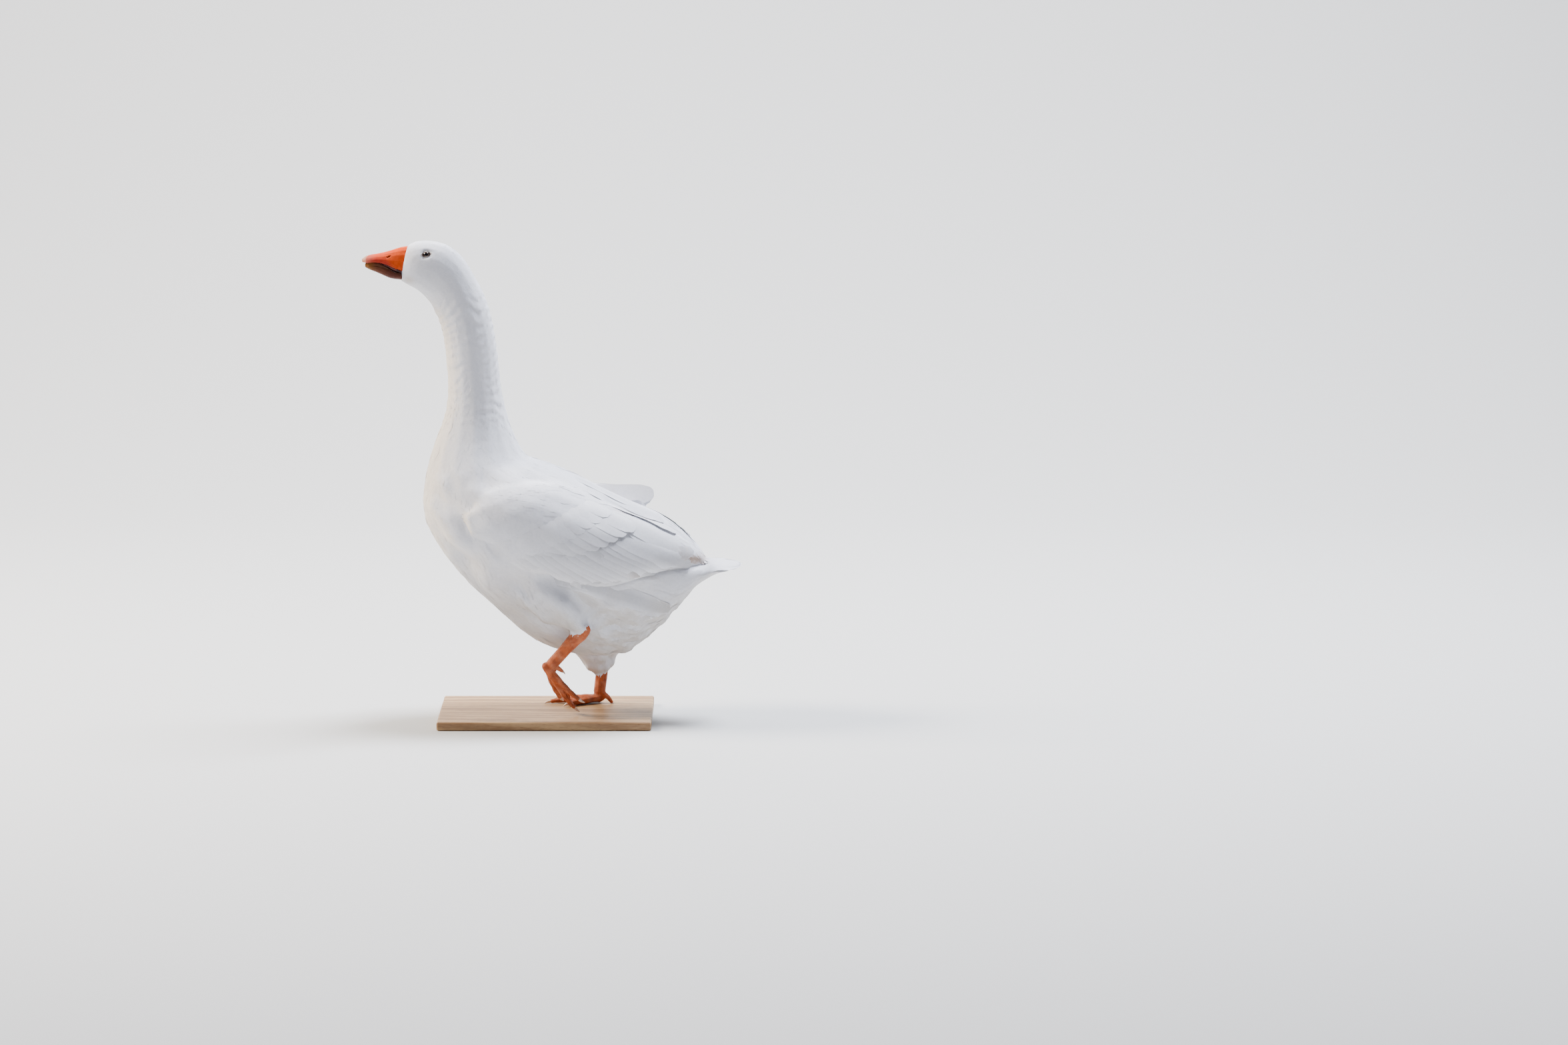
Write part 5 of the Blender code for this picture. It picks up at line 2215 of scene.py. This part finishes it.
@dataclass
class Eyes:
    """The eyeballs and their lids. Places and sizes are of the right eye and its mirror.

    The rim is the lid's section: a share of the opening, and a height in millimetres.
    """

    skin: Skin
    eye: Material
    lid: Material
    centre: Triple = (-197.6 * MM, 16.8 * MM, 746.9 * MM)
    radius: float = 5.6 * MM
    opening: Pair = (5.4 * MM, 2.9 * MM)
    slope: float = 0.18
    rim: tuple[Pair, ...] = (
        (0.95, -0.1), (1.0, 0.25), (1.07, 0.38), (1.17, 0.42), (1.32, 0.3), (1.55, 0.1), (1.9, -0.6),
    )
    cover: float = 0.45 * MM
    thickness: float = 0.4 * MM
    bulge: float = 0.2 * MM

    def build(self) -> None:
        """Make both eyes with their lids."""
        for side in Side:
            self.ball("eyeball_" + side.name.lower(), side.value)
            self.lids("eyelids_" + side.name.lower(), side.value)

    def ball(self, name: str, side: int) -> None:
        """Model an eyeball whose clear front bulges a little.

        Args:
            name: the piece's name.
            side: -1 for the left eye and 1 for the right.
        """
        x, y, z = self.centre
        clear = 0.72
        select_only()
        bpy.ops.mesh.primitive_uv_sphere_add(
            segments=48, ring_count=32, radius=self.radius, location=(x, side * y, z),
            rotation=(math.pi / 2, 0, 0),
        )
        made = named(name)
        bpy.ops.object.transform_apply(location=True, rotation=True, scale=True)
        with editing():
            front = side * (y + self.radius * clear)
            pick_vertices(made, lambda co: (co.y - front) * side > 0)
            bpy.ops.transform.translate(value=(0, side * self.bulge, 0))
        relax(made, 3)
        shade_smooth(made)
        place_piece(made, self.eye, [name.replace("eyeball", "eye")])

    def face_direction(self, side: int) -> Array:
        """Read which way the face looks round the eye.

        Args:
            side: -1 for the left eye and 1 for the right.

        Returns:
            The outward direction.
        """
        near, far, inner = 9 * MM, 13 * MM, 8 * MM
        face = self.skin.surface
        aside = face.points - np.array(self.centre) * (1, side, 1)
        gap = np.hypot(aside[:, 0], aside[:, 2])
        ring = (gap > near) & (gap < far) & (face.points[:, 1] * side > inner)
        return unit(face.normals[ring].mean(axis=0))

    def band(self, name: str) -> Piece:
        """Model the lids flat, as rings round an opening whose radius is one.

        Args:
            name: the new object's name.

        Returns:
            The rings.
        """
        select_only()
        bpy.ops.mesh.primitive_circle_add(vertices=72, radius=1.0)
        made = named(name)
        with editing():
            bpy.ops.mesh.select_all(action="SELECT")
            for (inner, _), (outer, _) in zip(self.rim, self.rim[1:]):
                bpy.ops.mesh.extrude_region_move()
                bpy.ops.transform.resize(value=(outer / inner,) * 3)
        return made

    def lids(self, name: str, side: int) -> None:
        """Model the lids as a band that hugs the eyeball and runs out under the feathers.

        Args:
            name: the piece's name.
            side: -1 for the left eye and 1 for the right.
        """
        outward = self.face_direction(side)
        made = self.band(name)
        points = points_of(made)
        size = np.linalg.norm(points[:, :2], axis=1) * self.rim[0][0]
        angle = np.arctan2(points[:, 1], points[:, 0])
        half_long, half_tall = self.opening
        pointed, farthest, start = 0.28, 0.35 * self.radius, 30 * MM
        across = half_long * np.cos(angle) * size
        rise = half_tall * np.sin(angle) * (1 - pointed + pointed * np.abs(np.sin(angle))) * size
        ball = np.sqrt(np.maximum(self.radius**2 - across**2 - rise**2, farthest**2))
        share = smooth_step(size, 1.0, 1.25)
        over = np.interp(size, *zip(*self.rim)) * MM
        ahead = unit(flatten_to(np.array([[-1.0, 0.0, -self.slope]]), outward[None])[0])
        up = np.cross(ahead, outward) * -side
        centre = np.array(self.centre) * (1, side, 1)
        flat = centre + np.outer(across, ahead) + np.outer(rise, up)
        way = Vector(-outward)
        cast = self.skin.surface.tree.ray_cast
        hits = [cast(Vector(p), way)[0] for p in (flat + outward * start).tolist()]
        face = np.array([(np.array(hit) - centre) @ outward if hit else 0.0 for hit in hits])
        hug = ball + np.where(size < 1, over, self.cover)
        level = np.maximum(hug, ball * (1 - share) + face * share + over)
        set_points(made, flat + np.outer(level, outward))
        edge = made.data.attributes.new(LID_EDGE, "FLOAT", "POINT")
        edge.data.foreach_set("value", smooth_step(size, 1.70, 1.40).astype(np.float32))
        select_only(made)
        with editing():
            bpy.ops.mesh.select_all(action="SELECT")
            bpy.ops.mesh.normals_make_consistent(inside=False)
        if np.mean(normals_of(made) @ outward) < 0:
            made.data.flip_normals()
        apply_modifier(made, "SOLIDIFY", thickness=self.thickness, offset=-1.0)
        shade_smooth(made)
        place_piece(made, self.lid)


@dataclass
class Claws:
    """The claws, four on each foot."""

    horn: Material
    voxel: float = 0.35 * MM

    def build(self) -> None:
        """Make each claw as a smooth copy of its solid."""
        for side in ("left", "right"):
            for toe in ("inner", "middle", "outer", "hind"):
                node = f"claw_{toe}_{side}"
                made = copy_of_nodes([node], f"horn_{toe}_{side}")
                remesh(made, self.voxel, 3)
                shade_smooth(made)
                place_piece(made, self.horn, [node])


# The studio


@dataclass(frozen=True)
class Viewpoint:
    """The camera: what it looks at, from how far and how high."""

    aim: Triple = (0.3671, 0.0, 0.3162)
    distance: float = 9.369
    elevation: float = 9.0
    lens: float = 135.0
    sensor: float = 36.0

    def build(self) -> None:
        """Make the camera and look through it."""
        data = bpy.data.cameras.new("camera")
        data.lens, data.sensor_width = self.lens, self.sensor
        data.clip_end = 100.0
        made = bpy.data.objects.new("camera", data)
        bpy.context.scene.collection.objects.link(made)
        tilt = math.radians(self.elevation)
        back = Vector((0, -math.cos(tilt), math.sin(tilt)))
        made.location = Vector(self.aim) + back * self.distance
        made.rotation_euler = (math.pi / 2 - tilt, 0, 0)
        bpy.context.scene.camera = made


class Lamp(NamedTuple):
    """A square soft light: its place, side, power in watts, colour and the place it faces."""

    name: str
    place: Triple
    size: float
    power: float
    colour: str
    aim: Triple = (0.0, 0.0, 0.4)

    def hang(self) -> None:
        """Add the light to the scene."""
        data = bpy.data.lights.new(self.name, "AREA")
        data.shape, data.size, data.energy = "SQUARE", self.size, self.power
        data.color = linear(self.colour)[:3]
        made = bpy.data.objects.new(self.name, data)
        bpy.context.scene.collection.objects.link(made)
        made.location = self.place
        way = Vector(self.aim) - Vector(self.place)
        made.rotation_euler = way.to_track_quat("-Z", "Y").to_euler()


@dataclass(frozen=True)
class Studio:
    """A pale floor that curves up into a backdrop, and soft lights."""

    paper: Material
    reach: float = 14.0
    back: float = 4.0
    bend: float = 2.0
    sky: str = "BCD0FF"
    sky_strength: float = 0.24
    lamps: tuple[Lamp, ...] = (
        Lamp("key", (-3.2, 0.2, 3.0), 1.2, 455, "FFF4E6"),
        Lamp("top", (1.3, 0.8, 4.0), 1.4, 600, "EEF3FF"),
        Lamp("backdrop", (0.4, 1.6, 4.2), 3.0, 140, "FFFFFF", (0.4, 4.0, 1.0)),
    )

    def floor(self) -> None:
        """Model the floor and backdrop as one sheet."""
        near = self.back - 0.01
        select_only()
        bpy.ops.mesh.primitive_plane_add(size=2 * self.reach, location=(0, self.back - self.reach, 0))
        made = named("floor")
        bpy.ops.object.transform_apply(location=True, rotation=True, scale=True)
        with editing():
            pick_vertices(made, lambda co: co.y > near)
            bpy.ops.mesh.extrude_region_move(TRANSFORM_OT_translate={"value": (0, 0, self.reach)})
            pick_vertices(made, lambda co: co.y > near and co.z < 0.01)
            bpy.ops.mesh.bevel(offset=self.bend, segments=24, affect="EDGES")
        bpy.ops.object.shade_smooth()
        made.data.materials.append(self.paper)

    def lights(self) -> None:
        """Hang the lights and set the air's own light."""
        for lamp in self.lamps:
            lamp.hang()
        world = bpy.data.worlds.new("studio")
        world.use_nodes = True
        sky = world.node_tree.nodes["Background"]
        sky.inputs["Color"].default_value = linear(self.sky)
        sky.inputs["Strength"].default_value = self.sky_strength
        bpy.context.scene.world = world


def main() -> None:
    """Build the goose, its base and the studio."""
    logging.basicConfig(level=logging.INFO, format="%(message)s")
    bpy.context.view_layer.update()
    skin = Skin()
    skin.build()
    marks = Markings()
    points, normals = points_of(skin.object), normals_of(skin.object)
    paint(skin.object, TINT, marks.at(points, normals))
    skin.mark_bare()
    place_piece(skin.object, SkinFinish().make(), [p.value for p in PARTS])
    weaver = Weaver(BakeMap(skin), marks)
    plumage = Plumage(skin, weaver, PlumageFinish().make())
    plumage.contour()
    plumage.bill_edge()
    plumage.thighs()
    plumage.wings()
    plumage.raised_tertials()
    plumage.tail()
    Bill(BillFinish().make(), MouthFinish().make()).build()
    Eyes(skin, EyeFinish().make(), LidFinish().make()).build()
    Claws(HornFinish().make()).build()
    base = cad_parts["stand_base"]
    base.data.materials.clear()
    base.data.materials.append(OakFinish().make())
    log.info("stand_base: %d faces", len(base.data.polygons))
    studio = Studio(PaperFinish().make())
    studio.floor()
    studio.lights()
    Viewpoint().build()


if __name__ == "__main__":
    main()
